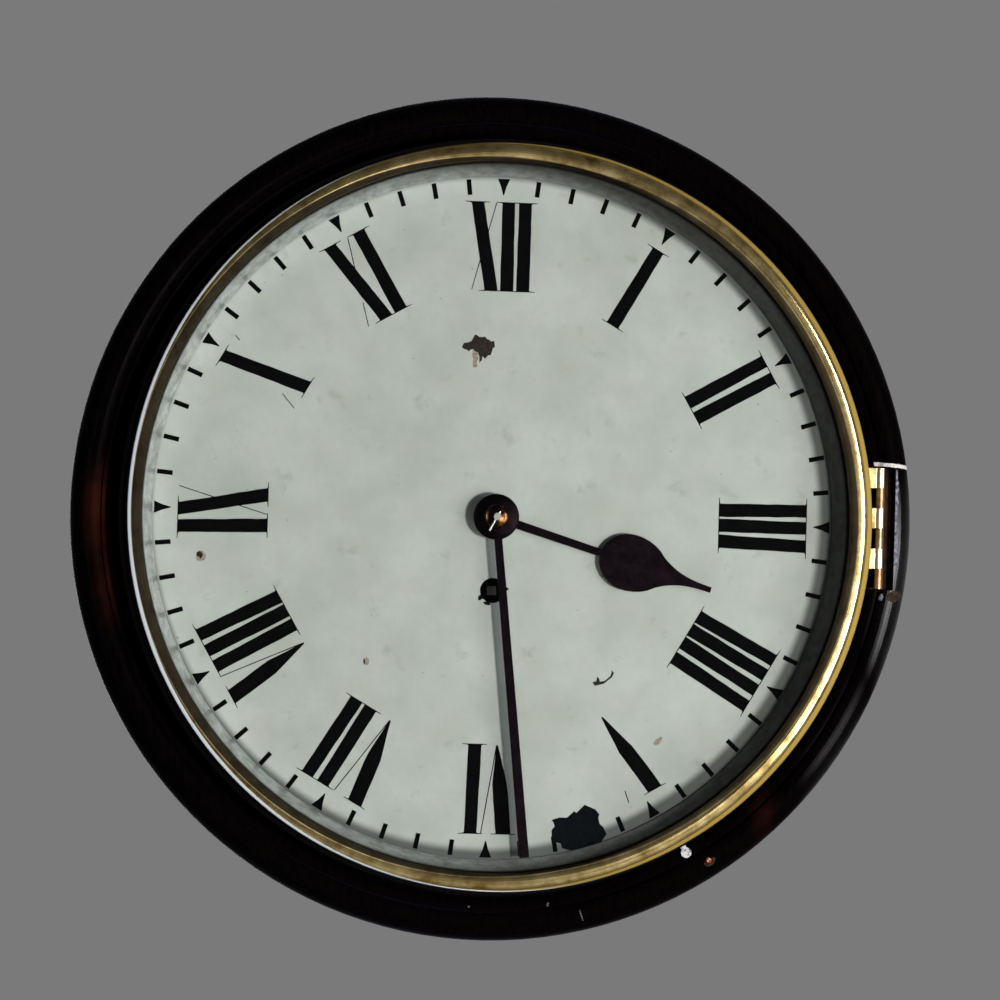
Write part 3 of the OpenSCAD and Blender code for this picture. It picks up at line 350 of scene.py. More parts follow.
@dataclass(frozen=True)
class DialEnamel(Finish):
    """Old oil enamel on sheet iron, brushed flat: pale grey green with faint clouds, stains and specks."""

    pale: str = "#c6cac5"
    deep: str = "#b5bab2"
    warm: str = "#bfbcb2"
    stain: str = "#93937f"
    speck: str = "#6b6557"
    cloud_mm: float = 30.0
    brush_mm: float = 2.2
    light_and_dirt: tuple[PaintedLightAndDirt, ...] = ()

    def shade(self, tree: Tree) -> Socket:
        """Clouded paint with small yellow stains and pin specks.

        Args:
            tree: Empty node tree of the new material.

        Returns:
            The shader socket to show.
        """
        place = add_node(tree, "TexCoord", out="Object")
        cloud = add_node(
            tree, "TexNoise",
            {"Vector": place, "Scale": scale_of(self.cloud_mm), "Detail": 8.0, "Roughness": 0.6},
        )
        tone = add_node(tree, "ValToRGB", {"Fac": cloud}, stops=[(0.34, self.deep), (0.64, self.pale)])
        # Each layer: noise size in millimetres, detail, where it starts and ends, colour, the most it hides
        layers = (
            (17.0, 6.0, 0.52, 0.74, self.warm, 0.55),
            (2.4, 4.0, 0.50, 0.80, self.deep, 0.35),
            (11.0, 7.0, 0.62, 0.74, self.stain, 0.40),
            (2.6, 3.0, 0.735, 0.765, self.speck, 0.75),
        )
        for size_mm, detail, start, end, colour, most in layers:
            grain = {"Vector": place, "Scale": scale_of(size_mm), "Detail": detail, "Roughness": 0.58}
            span = {
                "Value": add_node(tree, "TexNoise", grain), "From Min": start, "From Max": end, "To Max": most,
            }
            share = add_node(tree, "MapRange", span)
            tone = add_node(tree, "MixRGB", {"Fac": share, "Color1": tone, "Color2": colour})
        # Rings of laid colour over the paint: on the dial, a painted shadow of the bezel at the right and
        # below
        for ring_tint in self.light_and_dirt:
            share = ring_tint.share(tree, place)
            tone = add_node(tree, "MixRGB", {"Fac": share, "Color1": tone, "Color2": ring_tint.tone})
        brushed = add_node(
            tree, "TexNoise",
            {"Vector": place, "Scale": scale_of(self.brush_mm), "Detail": 4.0, "Roughness": 0.6},
        )
        look = {"Base Color": tone, "Roughness": 0.6, "IOR": PAINT_IOR, "Specular IOR Level": 0.3}
        return surface(tree, brushed, 0.2, 0.06, look)


@dataclass(frozen=True)
class BrushPaint(Finish):
    """Black japan paint laid on with a brush: deep black, worn through to the dial in flecks."""

    black: str = "#030304"
    thin: str = "#09090b"
    under: str = "#a7ada2"
    worn: float = 0.76
    fleck_mm: float = 3.2
    streak_mm: float = 9.0

    def shade(self, tree: Tree) -> Socket:
        """Black with flecks of the ground showing through.

        Args:
            tree: Empty node tree of the new material.

        Returns:
            The shader socket to show.
        """
        place = add_node(tree, "TexCoord", out="Object")
        fleck = add_node(
            tree, "TexNoise",
            {"Vector": place, "Scale": scale_of(self.fleck_mm), "Detail": 9.0, "Roughness": 0.74},
        )
        flecks = [(self.worn, "#000000"), (self.worn + 0.05, "#ffffff")]
        show = add_node(tree, "ValToRGB", {"Fac": fleck}, stops=flecks)
        streak = add_node(
            tree, "TexNoise", {"Vector": place, "Scale": scale_of(self.streak_mm), "Detail": 5.0}
        )
        ink = add_node(tree, "ValToRGB", {"Fac": streak}, stops=[(0.35, self.black), (0.75, self.thin)])
        paint = add_node(tree, "MixRGB", {"Fac": show, "Color1": ink, "Color2": self.under})
        look = {"Base Color": paint, "Roughness": 0.75, "IOR": PAINT_IOR, "Specular IOR Level": 0.02}
        return add_node(tree, "BsdfPrincipled", look)


@dataclass(frozen=True)
class WorkedMetal(Finish):
    """Turned, cast or grained metal with tarnish: tool marks, a clouded tone and changing polish."""

    bright: str = "#b08d46"
    tarnish: str = "#5a4522"
    tarnish_share: float = 0.5
    polish: float = 0.25
    mark_mm: float = 0.45
    mark_stretch: float = 0.04
    turned: bool = False
    axis: Pair = (0.0, 0.0)
    cloud_mm: float = 14.0
    relief: float = 0.15
    patina: float = 0.0
    dull_zone: Zone = Zone.NONE
    dull_from: float = 0.0
    dull_soft: float = 0.3
    tarnish_and_shade_tone: str = "#3c3013"
    dull_polish: float = 0.5
    stale_mm: float = 6.0
    spread: float = 0.18
    light_and_dirt: tuple[PaintedLightAndDirt, ...] = ()

    def shade(self, tree: Tree) -> Socket:
        """Metal whose tool marks run round its axis, or along it where it isn't turned.

        Args:
            tree: Empty node tree of the new material.

        Returns:
            The shader socket to show.
        """
        place = add_node(tree, "TexCoord", out="Object")
        # Distance from the turning axis alone, so that turned marks are rings
        radius = from_centre(tree, place, self.axis)
        if self.turned:
            lined = add_node(tree, "CombineXYZ", {"X": radius})
        else:
            lined = add_node(tree, "Mapping", {"Vector": place, "Scale": (self.mark_stretch, 1.0, 1.0)})
        marks = add_node(
            tree, "TexNoise",
            {"Vector": lined, "Scale": scale_of(self.mark_mm), "Detail": 3.0, "Roughness": 0.6},
        )
        cloud = add_node(
            tree, "TexNoise",
            {"Vector": place, "Scale": scale_of(self.cloud_mm), "Detail": 7.0, "Roughness": 0.62},
        )
        middle = 1 - self.tarnish_share
        tones = [
            (max(0.0, middle - self.spread), self.bright), (min(1.0, middle + self.spread), self.tarnish),
        ]
        colour = add_node(tree, "ValToRGB", {"Fac": cloud}, stops=tones)
        low, high = self.polish * 0.75, self.polish * 1.5
        rough = add_node(tree, "MapRange", {"Value": cloud, "To Min": low, "To Max": high})
        if self.dull_zone is not Zone.NONE:
            # Cloths and thumbs reach one part of the piece, and the tarnish stays on the rest
            # On the fixed hinge the zone is instead a painted shadow, dark in the recess by the wood
            outside = self.dull_zone is Zone.OUTSIDE
            across = radius if outside else add_node(tree, "SeparateXYZ", {0: place}, "X")
            soft = -self.dull_soft if self.dull_zone is Zone.LEFT else self.dull_soft
            start, end = (self.dull_from - soft) * MM, (self.dull_from + soft) * MM
            zone = add_node(tree, "MapRange", {"Value": across, "From Min": start, "From Max": end})
            # The tarnish there is a little greener in places and a little redder in others
            stale = {"Vector": place, "Scale": scale_of(self.stale_mm), "Detail": 5.0, "Roughness": 0.6}
            patch = add_node(tree, "TexNoise", stale)
            faded = add_node(
                tree, "MapRange", {"Value": patch, "From Min": 0.36, "From Max": 0.62, "To Max": 0.5}
            )
            dull = add_node(tree, "MixRGB", {"Fac": faded, "Color1": self.tarnish_and_shade_tone, "Color2": self.tarnish})
            colour = add_node(tree, "MixRGB", {"Fac": zone, "Color1": colour, "Color2": dull})
            rough = add_node(
                tree, "MapRange", {"Value": zone, "To Min": self.polish, "To Max": self.dull_polish}
            )
        metal: float | Socket = 1.0 - self.patina
        sheer: float | Socket = 0.5
        # Rings of laid colour: painted shade, painted highlights and dark bands on the bezel and sight ring
        for ring_tint in self.light_and_dirt:
            share = ring_tint.share(tree, place)
            colour = add_node(tree, "MixRGB", {"Fac": share, "Color1": colour, "Color2": ring_tint.tone})
            # Laid colour, painted light as much as dirt, is rough, no metal, and has next to no shine
            rough, metal, sheer = (
                add_node(tree, "MapRange", {"Value": share, "To Min": clean, "To Max": foul})
                for clean, foul in ((rough, 0.75), (metal, 0.0), (sheer, 0.02))
            )
        look = {"Base Color": colour, "Metallic": metal, "Roughness": rough, "Specular IOR Level": sheer}
        return surface(tree, marks, self.relief, 0.06, look)


@dataclass(frozen=True)
class ClearPane(Finish):
    """Drawn window glass, thin and flat: it lets light straight through and mirrors a little."""

    tint: str = "#fafbfa"
    index: float = 1.28

    def shade(self, tree: Tree) -> Socket:
        """Clear glass whose mirror part grows towards the edge of view.

        Args:
            tree: Empty node tree of the new material.

        Returns:
            The shader socket to show.
        """
        through = add_node(tree, "BsdfTransparent", {"Color": self.tint})
        mirror = add_node(tree, "BsdfAnisotropic", {"Color": "#ffffff", "Roughness": 0.02})
        # No ray is bent inside this pane, so its back takes the inverse index and mirrors like its front
        behind = add_node(tree, "NewGeometry", out="Backfacing")
        index = add_node(tree, "MapRange", {"Value": behind, "To Min": self.index, "To Max": 1 / self.index})
        share = add_node(tree, "Fresnel", {"IOR": index})
        pane = add_node(tree, "MixShader", {0: share, 1: through, 2: mirror})
        # Shadow rays pass, as they do through a real pane
        shadow = add_node(tree, "LightPath", out="Is Shadow Ray")
        return add_node(tree, "MixShader", {0: shadow, 1: pane, 2: through})


@dataclass(frozen=True)
class MattePaint(Finish):
    """Broken paint, rust or plaster: a matt ground in two tones with a rough skin."""

    one: str = "#3c4048"
    two: str = "#16181c"
    grain_mm: float = 1.2
    rough: float = 0.8
    mirror: float = 0.2

    def shade(self, tree: Tree) -> Socket:
        """Two tones in patches over a rough surface.

        Args:
            tree: Empty node tree of the new material.

        Returns:
            The shader socket to show.
        """
        place = add_node(tree, "TexCoord", out="Object")
        patch = add_node(
            tree, "TexNoise",
            {"Vector": place, "Scale": scale_of(self.grain_mm), "Detail": 6.0, "Roughness": 0.6},
        )
        tone = add_node(tree, "ValToRGB", {"Fac": patch}, stops=[(0.38, self.two), (0.62, self.one)])
        look = {
            "Base Color": tone, "Roughness": self.rough, "IOR": PAINT_IOR, "Specular IOR Level": self.mirror,
        }
        return surface(tree, patch, 0.4, 0.2, look)


@dataclass(frozen=True)
class TwistedGut(Finish):
    """Gut line twisted from strands, oiled: the strands show as slanting ridges."""

    light: str = "#c2a878"
    dark: str = "#8a6c40"
    twist_mm: float = 2.2

    def shade(self, tree: Tree) -> Socket:
        """Slanting ridges less than a millimetre wide.

        Args:
            tree: Empty node tree of the new material.

        Returns:
            The shader socket to show.
        """
        place = add_node(tree, "TexCoord", out="Object")
        twist = add_node(
            tree, "TexWave",
            {"Vector": place, "Scale": scale_of(self.twist_mm), "Distortion": 1.5, "Detail": 2.0},
            "Fac", bands_direction="DIAGONAL",
        )
        tone = add_node(tree, "ValToRGB", {"Fac": twist}, stops=[(0.2, self.dark), (0.8, self.light)])
        return surface(tree, twist, 0.5, 0.1, {"Base Color": tone, "Roughness": 0.4, "IOR": VARNISH_IOR})


# Surround: mahogany turned on a lathe, ebonised and french polished, then sooted
# Near black with brown rubs, and glossy only at the right, where hands have kept it clean
EBONISED = PolishedWood(
    "ebonised_mahogany_polished", mirror=0.002, gleam_mirror=0.32, bloom=0.03,
    rubs=(Rub(-170.0, -2.0, 32.0, 0.8), Rub(-166.0, -34.0, 26.0, 0.5), Rub(120.0, -124.0, 20.0, 0.35)),
    gleams=(Rub(180.0, -13.0, 42.0), Rub(172.0, -46.0, 30.0, 0.4), Rub(150.0, -92.0, 50.0, 0.16)),
)
# Box, doors and back board: stained pine, varnished once. Browner, duller and more streaked than the front
STAINED_PINE = PolishedWood(
    "stained_pine_varnished", dark="#1d100a", warm="#3b2213", rubbed="#5b3a22", gloss=0.46, mirror=0.4,
    grain_mm=2.2, rubbed_share=0.6,
)
# Pegs and rails: bare beech, whittled and sawn. Pale brown with grey dirt
BARE_BEECH = PolishedWood(
    "bare_beech_sawn", dark="#4a3320", warm="#7b5a3a", rubbed="#93724e", gloss=0.66, mirror=0.4, grain_mm=1.2,
    rubbed_share=0.55,
)
# Dial: sheet iron under old oil enamel, rubbed flat. Soft pale grey green that scatters light evenly
# A painted shadow of the bezel lies on it as a dark blurred border at the right and below
ENAMELLED_IRON = DialEnamel(
    "enamelled_iron_brushed", light_and_dirt=(PaintedLightAndDirt((-2.9, 1.9), 146.6, 2.1, "#2b2e29", 0.85),),
)
# Numerals: black japan, put on by brush. Solid strokes with flecks missing, and hairlines nearly gone
BLACK_JAPAN = BrushPaint("black_japan_brushed")
# Bezel: sheet brass spun over a former, long untouched. Olive gold with fine rings and darker clouds
# A thin white line at the far left is a painted highlight, and the band's outer edge is painted dark as shade,
# widest at the left
SPUN_BRASS = WorkedMetal(
    "brass_spun", bright="#c9b47c", tarnish="#6e5726", polish=0.17, mark_mm=0.6, turned=True, cloud_mm=9.0,
    relief=0.05, patina=0.17, dull_zone=Zone.OUTSIDE, dull_from=160.6, tarnish_and_shade_tone="#6a5922", dull_polish=0.62,
    light_and_dirt=(
        PaintedLightAndDirt((3.4, 0.4), 162.0, 0.2, "#dde5ea"), PaintedLightAndDirt((1.9, 0.0), 161.9, 0.25, "#050302"),
        # Inside the white line the flank is darkened to a matt dark brown next to the glass
        PaintedLightAndDirt((-3.0, 0.0), 155.6, 0.4, "#0c0704", 0.95, True),
        PaintedLightAndDirt((2.6, 0.0), 154.4, 0.5, "#140b05", 0.9, True),
    ),
)
# Sight ring: spun brass, silvered by rubbing and gone matt
# Pale where the light falls in; painted shade darkens it towards the right, and a dark band runs along its
# outer edge
SILVERED_BRASS = WorkedMetal(
    "brass_silvered", bright="#d7dbdc", tarnish="#97958a", tarnish_share=0.45, polish=0.34, mark_mm=0.5,
    turned=True, cloud_mm=5.0, relief=0.05, patina=0.25, light_and_dirt=(
        PaintedLightAndDirt((-6.0, -0.6), 150.4, 4.5, "#24211a", 0.9), PaintedLightAndDirt((0.0, 0.0), 153.4, 0.4, "#120d08", 0.95),
    ),
)
# Hinges, leaves, buttons and plate: cast brass left to tone. Brown with broad paler clouds
TONED_BRASS = WorkedMetal(
    "brass_cast_toned", bright="#7b6338", tarnish="#3d2c1a", tarnish_share=0.55, polish=0.32, cloud_mm=16.0,
    spread=0.26,
)
# Fixed half of the bezel hinge: bright on its barrel, and near black red brown in its recess, a painted shadow
# of the wood's wall
RECESSED_BRASS = WorkedMetal(
    "brass_cast_recessed", bright="#b08a58", tarnish="#62422a", polish=0.26, cloud_mm=4.0, patina=0.6,
    dull_zone=Zone.RIGHT, dull_from=170.4, tarnish_and_shade_tone="#120a08", dull_polish=0.9,
)
# Swinging half of the bezel hinge: rubbed pale by hands on its barrel, and toned brown on its leaf
WORN_BRASS = WorkedMetal(
    "brass_cast_worn", bright="#f3ead0", tarnish="#cdb27c", tarnish_share=0.35, polish=0.42, cloud_mm=3.0,
    dull_zone=Zone.LEFT, dull_from=166.9, tarnish_and_shade_tone="#5d4c2e", dull_polish=0.3,
)
# Works plates: rolled brass, grained with water stone. Straight fine lines and an even yellow
GRAINED_BRASS = WorkedMetal(
    "brass_rolled_grained", bright="#c9a95c", tarnish="#8c6c30", tarnish_share=0.42, polish=0.3, mark_mm=0.3,
)
# Wheels, barrel and fusee: brass turned and polished. Bright yellow with rings that follow the lathe
TURNED_BRASS = WorkedMetal(
    "brass_turned_polished", bright="#d3b266", tarnish="#9b7836", tarnish_share=0.4, polish=0.18,
    mark_mm=0.35, turned=True,
)
# Bob: lead cased in brass, lacquered. A clear gold skin, a little clouded
LACQUERED_BRASS = WorkedMetal(
    "brass_lacquered", bright="#bd974c", tarnish="#7d5c2a", tarnish_share=0.42, polish=0.22, mark_mm=0.8,
    turned=True, axis=(0.0, -121.7), cloud_mm=9.0,
)
# Collet: brass turned to a dome, toned brown with a coppery cast
TONED_COLLET = WorkedMetal(
    "brass_turned_toned", bright="#6a4526", tarnish="#1c0f0a", tarnish_share=0.6, polish=0.22, mark_mm=0.3,
    turned=True, cloud_mm=3.0,
)
# Hands and springs: steel filed, polished and blued over a flame. Nearly black with brown and purple tones
BLUED_STEEL = WorkedMetal(
    "steel_blued", bright="#0d080b", tarnish="#050304", polish=0.36, cloud_mm=5.0, relief=0.1,
)
# Front plate behind the winding hole: rolled brass, dark brown as painted shade. A black hole in the dial
SHADED_BRASS = WorkedMetal(
    "brass_rolled_painted_shade", bright="#2e2416", tarnish="#17110a", polish=0.5, cloud_mm=8.0,
)
# Arbors, screws, pin and clicks: steel turned bright, greyed with age
BRIGHT_STEEL = WorkedMetal(
    "steel_turned", bright="#b3b1ac", tarnish="#6c6964", tarnish_share=0.42, polish=0.24, mark_mm=0.25,
    cloud_mm=5.0,
)
# Winding square: steel, dark brown as painted shade behind the dial
SHADED_STEEL = WorkedMetal(
    "steel_painted_shade", bright="#1a1512", tarnish="#0b0908", polish=0.55, cloud_mm=4.0, patina=0.4,
)
# Finger lug: brass, near white and matt in a ragged cloud
PALE_LUG = WorkedMetal(
    "brass_lug_pale", bright="#b2b2b0", tarnish="#141312", tarnish_share=0.46, polish=0.5, cloud_mm=1.7,
    patina=0.9, spread=0.05,
)
# Pin beside the lug: a copper coloured brass nail, worn bright
COPPER_PIN = WorkedMetal(
    "brass_nail_coppery", bright="#8f5a3c", tarnish="#2e1710", tarnish_share=0.55, polish=0.22, cloud_mm=1.2,
)
# Glass: drawn window glass, flat and clear
WINDOW_GLASS = ClearPane("window_glass_drawn")
# Lost paint: bare iron, blue black, and rust. Both matt beside the enamel
BARE_IRON = MattePaint("iron_bare_blackened", one="#0c1216", two="#05060b", grain_mm=3.5, mirror=0.04)
RUSTED_IRON = MattePaint("iron_rusted", one="#33261e", two="#140e0a", grain_mm=1.4)
PALE_CHIP = MattePaint("enamel_flaking", one="#b3a795", two="#85796a", grain_mm=1.0)
# Wood broken at the hinge recess, and a thin line below the hinge: a pale bluish painted highlight where the
# edges catch the light
EDGE_HIGHLIGHT = MattePaint("mahogany_edge_painted_highlight", one="#8f8f9c", two="#34323c", grain_mm=1.5, rough=0.6)
# Rust run down from the hinge over the wood. Dull brown
RUST_STAIN = MattePaint("rust_run_on_wood", one="#46342a", two="#1c120e", grain_mm=1.6, mirror=0.05)
# House dust and candle grease in small spots. Pale dots on the black
DUST = MattePaint("dust_settled", one="#6d6a72", two="#3a383e", grain_mm=0.5, rough=0.9)
# Joint of the surround: old gesso filler, chalky white
GESSO = MattePaint("gesso_filler", one="#efece6", two="#c8c4bb", grain_mm=0.8)
# Gut line: twisted sheep gut, oiled
GUT_LINE = TwistedGut("gut_line_twisted")


@dataclass
class Maker:
    """Base of every sub-assembly: it dresses frame nodes and adds pieces to bodies."""

    nodes: dict[str, bpy.types.Object]

    def dress(self, finish: Finish, *names: str) -> None:
        """Gives a finish to frame nodes.

        Args:
            finish: The finish to use.
            names: Names of the frame's nodes.
        """
        for name in names:
            node = self.nodes[name]
            node.data.materials.clear()
            node.data.materials.append(finish.material())
            LOG.info("dressed %s with %s", name, finish.name)

    def piece(
        self, name: str, mesh: Mesh, finish: Finish, body: Body, slot: str, smooth: bool = False
    ) -> bpy.types.Object:
        """Turns a mesh in metres into a piece that rides on a body.

        Args:
            name: Name of the piece.
            mesh: Finished mesh, which is freed here.
            finish: Finish of the piece.
            body: Body that it rides on.
            slot: Slot of the record for its finish. Not used.
            smooth: Whether its faces are shaded smooth.

        Returns:
            The new object.
        """
        bmesh.ops.recalc_face_normals(mesh, faces=mesh.faces)
        data = bpy.data.meshes.new(name)
        mesh.to_mesh(data)
        mesh.free()
        for polygon in data.polygons:
            polygon.use_smooth = smooth
        data.materials.append(finish.material())
        made = bpy.data.objects.new(name, data)
        bpy.context.scene.collection.objects.link(made)
        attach(made, body.value)
        LOG.info("made %s on %s", name, body.value)
        return made


def dial_point(x_mm: float, z_mm: float, depth_mm: float) -> Vector:
    """Gives the place in metres of a point on the dial, from its place right, up and out of the wall."""
    return Vector((x_mm * MM, -depth_mm * MM, z_mm * MM))


def polar(angle: float, radius: float, across: float = 0.0) -> Pair:
    """Gives a dial place, from degrees clockwise, millimetres out and millimetres clockwise of that line."""
    a = math.radians(angle)
    return (radius * math.sin(a) + across * math.cos(a), radius * math.cos(a) - across * math.sin(a))


def ragged_outline(
    seed: int, size: Pair, turn: float, wander: float, finest: int, fall: float, count: int
) -> list[Pair]:
    """Gives a roundish broken outline about the origin.

    Args:
        seed: Seed of the outline.
        size: Half width and half height in millimetres.
        turn: Degrees that the shape is turned.
        wander: Share by which the outline leaves its ellipse.
        finest: Number of the finest waves round the outline.
        fall: Power by which finer waves are weaker.
        count: Number of points.

    Returns:
        Millimetres right and up, in order.
    """
    rng = random.Random(seed)
    waves = [(k, rng.uniform(0, 6.28), rng.uniform(0.4, 1.0) / k**fall) for k in range(2, finest + 1)]
    c, s = math.cos(math.radians(turn)), math.sin(math.radians(turn))
    outline = []
    for i in range(count):
        a = 2 * math.pi * i / count
        reach = 1 + wander * sum(high * math.sin(k * a + start) for k, start, high in waves)
        x, z = size[0] * reach * math.cos(a), size[1] * reach * math.sin(a)
        outline.append((x * c - z * s, x * s + z * c))
    return outline


def join_rows(mesh: Mesh, rows: Sequence[Sequence[bmesh.types.BMVert]], closed: bool = False) -> None:
    """Adds faces between neighbouring rows of points.

    Args:
        mesh: Mesh that the points are in.
        rows: Rows with the same number of points.
        closed: Whether each row runs round a ring.
    """
    for one, two in zip(rows, rows[1:]):
        count = len(one)
        for i in range(count if closed else count - 1):
            j = (i + 1) % count
            mesh.faces.new((one[i], one[j], two[j], two[i]))


def add_plate(mesh: Mesh, outline: Sequence[Pair], low: float, high: float) -> None:
    """Adds a flat plate with the outline, between two depths.

    Args:
        mesh: Mesh to add to.
        outline: Millimetres right and up, in order.
        low: Depth of the back in millimetres.
        high: Depth of the front in millimetres.
    """
    back = [mesh.verts.new(dial_point(x, z, low)) for x, z in outline]
    front = [mesh.verts.new(dial_point(x, z, high)) for x, z in outline]
    mesh.faces.new(front)
    mesh.faces.new(list(reversed(back)))
    join_rows(mesh, (back, front), closed=True)


@dataclass(frozen=True)
class Mark:
    """One stroke of a numeral, in millimetres across it at the outer end and at the foot.

    Low and high are the shares of the way out, from foot to outer end, where the stroke starts and ends.
    """

    kind: Stroke
    top: float
    foot: float
    low: float = 0.0
    high: float = 1.0


THICK, HAIR, WEDGE = Stroke.THICK, Stroke.HAIR, Stroke.WEDGE
# The strokes of the twelve numerals as they were painted, none quite like the next
NUMERALS: dict[str, tuple[Mark, ...]] = {
    "XII": (Mark(THICK, -11.2, -4.3), Mark(HAIR, -2.9, -12.9), Mark(THICK, 2.4, 2.5), Mark(THICK, 9.8, 9.5)),
    "I": (Mark(THICK, 0.0, 0.1),),
    "II": (Mark(THICK, -4.0, -3.9), Mark(THICK, 4.4, 3.9)),
    "III": (Mark(THICK, -6.9, -6.2), Mark(THICK, 0.7, 0.4), Mark(THICK, 8.7, 7.4)),
    "IIII": (
        Mark(THICK, -11.3, -10.1), Mark(THICK, -3.8, -3.5), Mark(THICK, 4.0, 3.2), Mark(THICK, 12.1, 10.8),
    ),
    "V": (Mark(WEDGE, -5.6, 0.0), Mark(HAIR, 7.4, 0.3, 0.86, 1.0)),
    "VI": (Mark(WEDGE, -7.5, -3.9), Mark(HAIR, 2.3, -3.7), Mark(THICK, 6.9, 5.9)),
    "VII": (Mark(WEDGE, -13.0, -7.5), Mark(HAIR, -2.6, -7.3), Mark(THICK, 3.2, 2.7), Mark(THICK, 11.0, 9.7)),
    "VIII": (
        Mark(WEDGE, -14.3, -8.7), Mark(HAIR, -4.3, -8.5), Mark(THICK, 0.7, 0.5), Mark(THICK, 8.3, 7.4),
        Mark(THICK, 16.0, 14.2),
    ),
    "IX": (Mark(THICK, -7.9, -6.6), Mark(HAIR, 9.5, -1.9), Mark(THICK, -0.4, 6.7)),
    "X": (Mark(THICK, -2.7, 5.0), Mark(HAIR, 7.8, -5.8, 0.0, 0.2), Mark(HAIR, 7.8, -5.8, 0.93, 1.0)),
    "XI": (
        Mark(THICK, -7.5, -0.4), Mark(HAIR, 1.2, -9.1, 0.0, 0.27), Mark(HAIR, 1.2, -9.1, 0.55, 1.0),
        Mark(THICK, 6.6, 6.8),
    ),
}


@dataclass
class DialFace(Maker):
    """The painted dial: its numerals, its minute marks and the marks of age on it."""

    outer_r: float = 137.7
    foot_r: float = 99.3
    thick: float = 5.7
    hair: float = 0.42
    serif_over: float = 2.6
    serif_gap: float = 3.5
    track_in: float = 141.3
    track_out: float = 148.3
    bar_w: float = 2.05
    triangle_half: float = 2.7
    skin: float = 0.04
    serif_skin: float = 0.034
    layer: float = 0.004
    seed: int = 7

    def stroke(self, mark: Mark, angle: float, rng: random.Random) -> list[Pair]:
        """Gives the outline of one stroke with the slight waver of a brush.

        Args:
            mark: The stroke.
            angle: Place of the numeral, degrees clockwise from the top.
            rng: Seeded source of the waver.

        Returns:
            Outline in millimetres right and up.
        """
        steps = 9
        waver = 0.04 if mark.kind is HAIR else 0.10
        left, right = [], []
        for i in range(steps + 1):
            share = mark.low + (mark.high - mark.low) * i / steps
            radius = self.foot_r + (self.outer_r - self.foot_r) * share
            middle = mark.foot + (mark.top - mark.foot) * share
            if mark.kind is THICK:
                wide = (self.thick + 0.15 * math.cos(share * 3.1)) / 2
            elif mark.kind is WEDGE:
                # The stroke narrows to a point at its foot, where the hairline joins it
                wide = self.thick * min(0.58, 0.06 + 1.12 * share)
            else:
                wide = self.hair / 2
            left.append(polar(angle, radius, middle - wide + rng.uniform(-waver, waver)))
            right.append(polar(angle, radius, middle + wide + rng.uniform(-waver, waver)))
        return left + right[::-1]

    def serif(self, angle: float, low: float, high: float, radius: float, outward: int) -> list[Pair]:
        """Gives a thin line across stroke ends, swelling a little into the stroke.

        Args:
            angle: Place of the numeral.
            low: Left end in millimetres across.
            high: Right end in millimetres across.
            radius: Where the line lies.
            outward: One at the outer end, minus one at the foot.

        Returns:
            Outline in millimetres right and up.
        """
        thin, edge, deep = 0.42 * outward, 0.15 * outward, -0.5 * outward
        left, right = low - self.serif_over, high + self.serif_over
        points = [
            (left, edge), (left, thin), (right, thin), (right, edge), (high + 0.5, 0.0), (high - 0.3, deep),
            (high - 0.9, 0.0), (low + 0.9, 0.0), (low + 0.3, deep), (low - 0.5, 0.0),
        ]
        return [polar(angle, radius + up, across) for across, up in points]

    def runs(self, spans: list[Pair]) -> list[Pair]:
        """Joins spans that lie close to each other into one.

        Args:
            spans: Left and right ends in millimetres across.

        Returns:
            The joined spans, from left to right.
        """
        joined: list[Pair] = []
        for low, high in sorted(spans):
            if joined and low - joined[-1][1] < self.serif_gap:
                joined[-1] = (joined[-1][0], max(high, joined[-1][1]))
            else:
                joined.append((low, high))
        return joined

    def paint_numerals(self) -> None:
        """Paints the twelve numerals, feet towards the centre."""
        rng = random.Random(self.seed)
        half = self.thick / 2
        for hour, (name, marks) in enumerate(NUMERALS.items()):
            angle = hour * 30.0
            solid, hairs = bmesh.new(), bmesh.new()
            for level, mark in enumerate(marks):
                target = hairs if mark.kind is HAIR else solid
                # Each stroke lies a little over the one before it
                top = DIAL_FACE + self.skin + self.layer * level
                add_plate(target, self.stroke(mark, angle, rng), PAINT_BACK, top)
            ends = (
                ([mark.foot for mark in marks if mark.kind is THICK], self.foot_r, -1),
                ([mark.top for mark in marks if mark.kind is not HAIR], self.outer_r, 1),
            )
            for middles, radius, outward in ends:
                for low, high in self.runs([(middle - half, middle + half) for middle in middles]):
                    line = self.serif(angle, low, high, radius, outward)
                    add_plate(solid, line, PAINT_BACK, DIAL_FACE + self.serif_skin)
            self.piece(f"numeral_{name}", solid, BLACK_JAPAN, Body.CASE, "dial_paint")
            if hairs.faces:
                self.piece(f"hairlines_{name}", hairs, BLACK_JAPAN, Body.CASE, "dial_paint")
            else:
                hairs.free()

    def paint_track(self) -> None:
        """Paints the minute bars and the triangles at the hours."""
        rng = random.Random(self.seed + 1)
        bars, triangles = bmesh.new(), bmesh.new()
        end = self.track_out
        for minute in range(60):
            if minute % 5:
                target, half, tilt = bars, self.bar_w / 2, rng.uniform(-0.12, 0.12)
                foot = self.track_in + 0.2
                corners = [(foot, -half + tilt), (end, -half), (end, half), (foot, half + tilt)]
            else:
                target, half = triangles, self.triangle_half
                foot, waist = self.track_in - 0.2, self.track_in + 3.4
                slim = 0.44 * half
                corners = [
                    (foot, -0.2), (waist, -slim), (end, -half), (end, half), (waist, slim), (foot, 0.2),
                ]
            outline = [polar(minute * 6.0, radius, across) for radius, across in corners]
            add_plate(target, outline, PAINT_BACK, DIAL_FACE + self.skin)
        self.piece("minute_bars", bars, BLACK_JAPAN, Body.CASE, "dial_paint")
        self.piece("hour_triangles", triangles, BLACK_JAPAN, Body.CASE, "dial_paint")

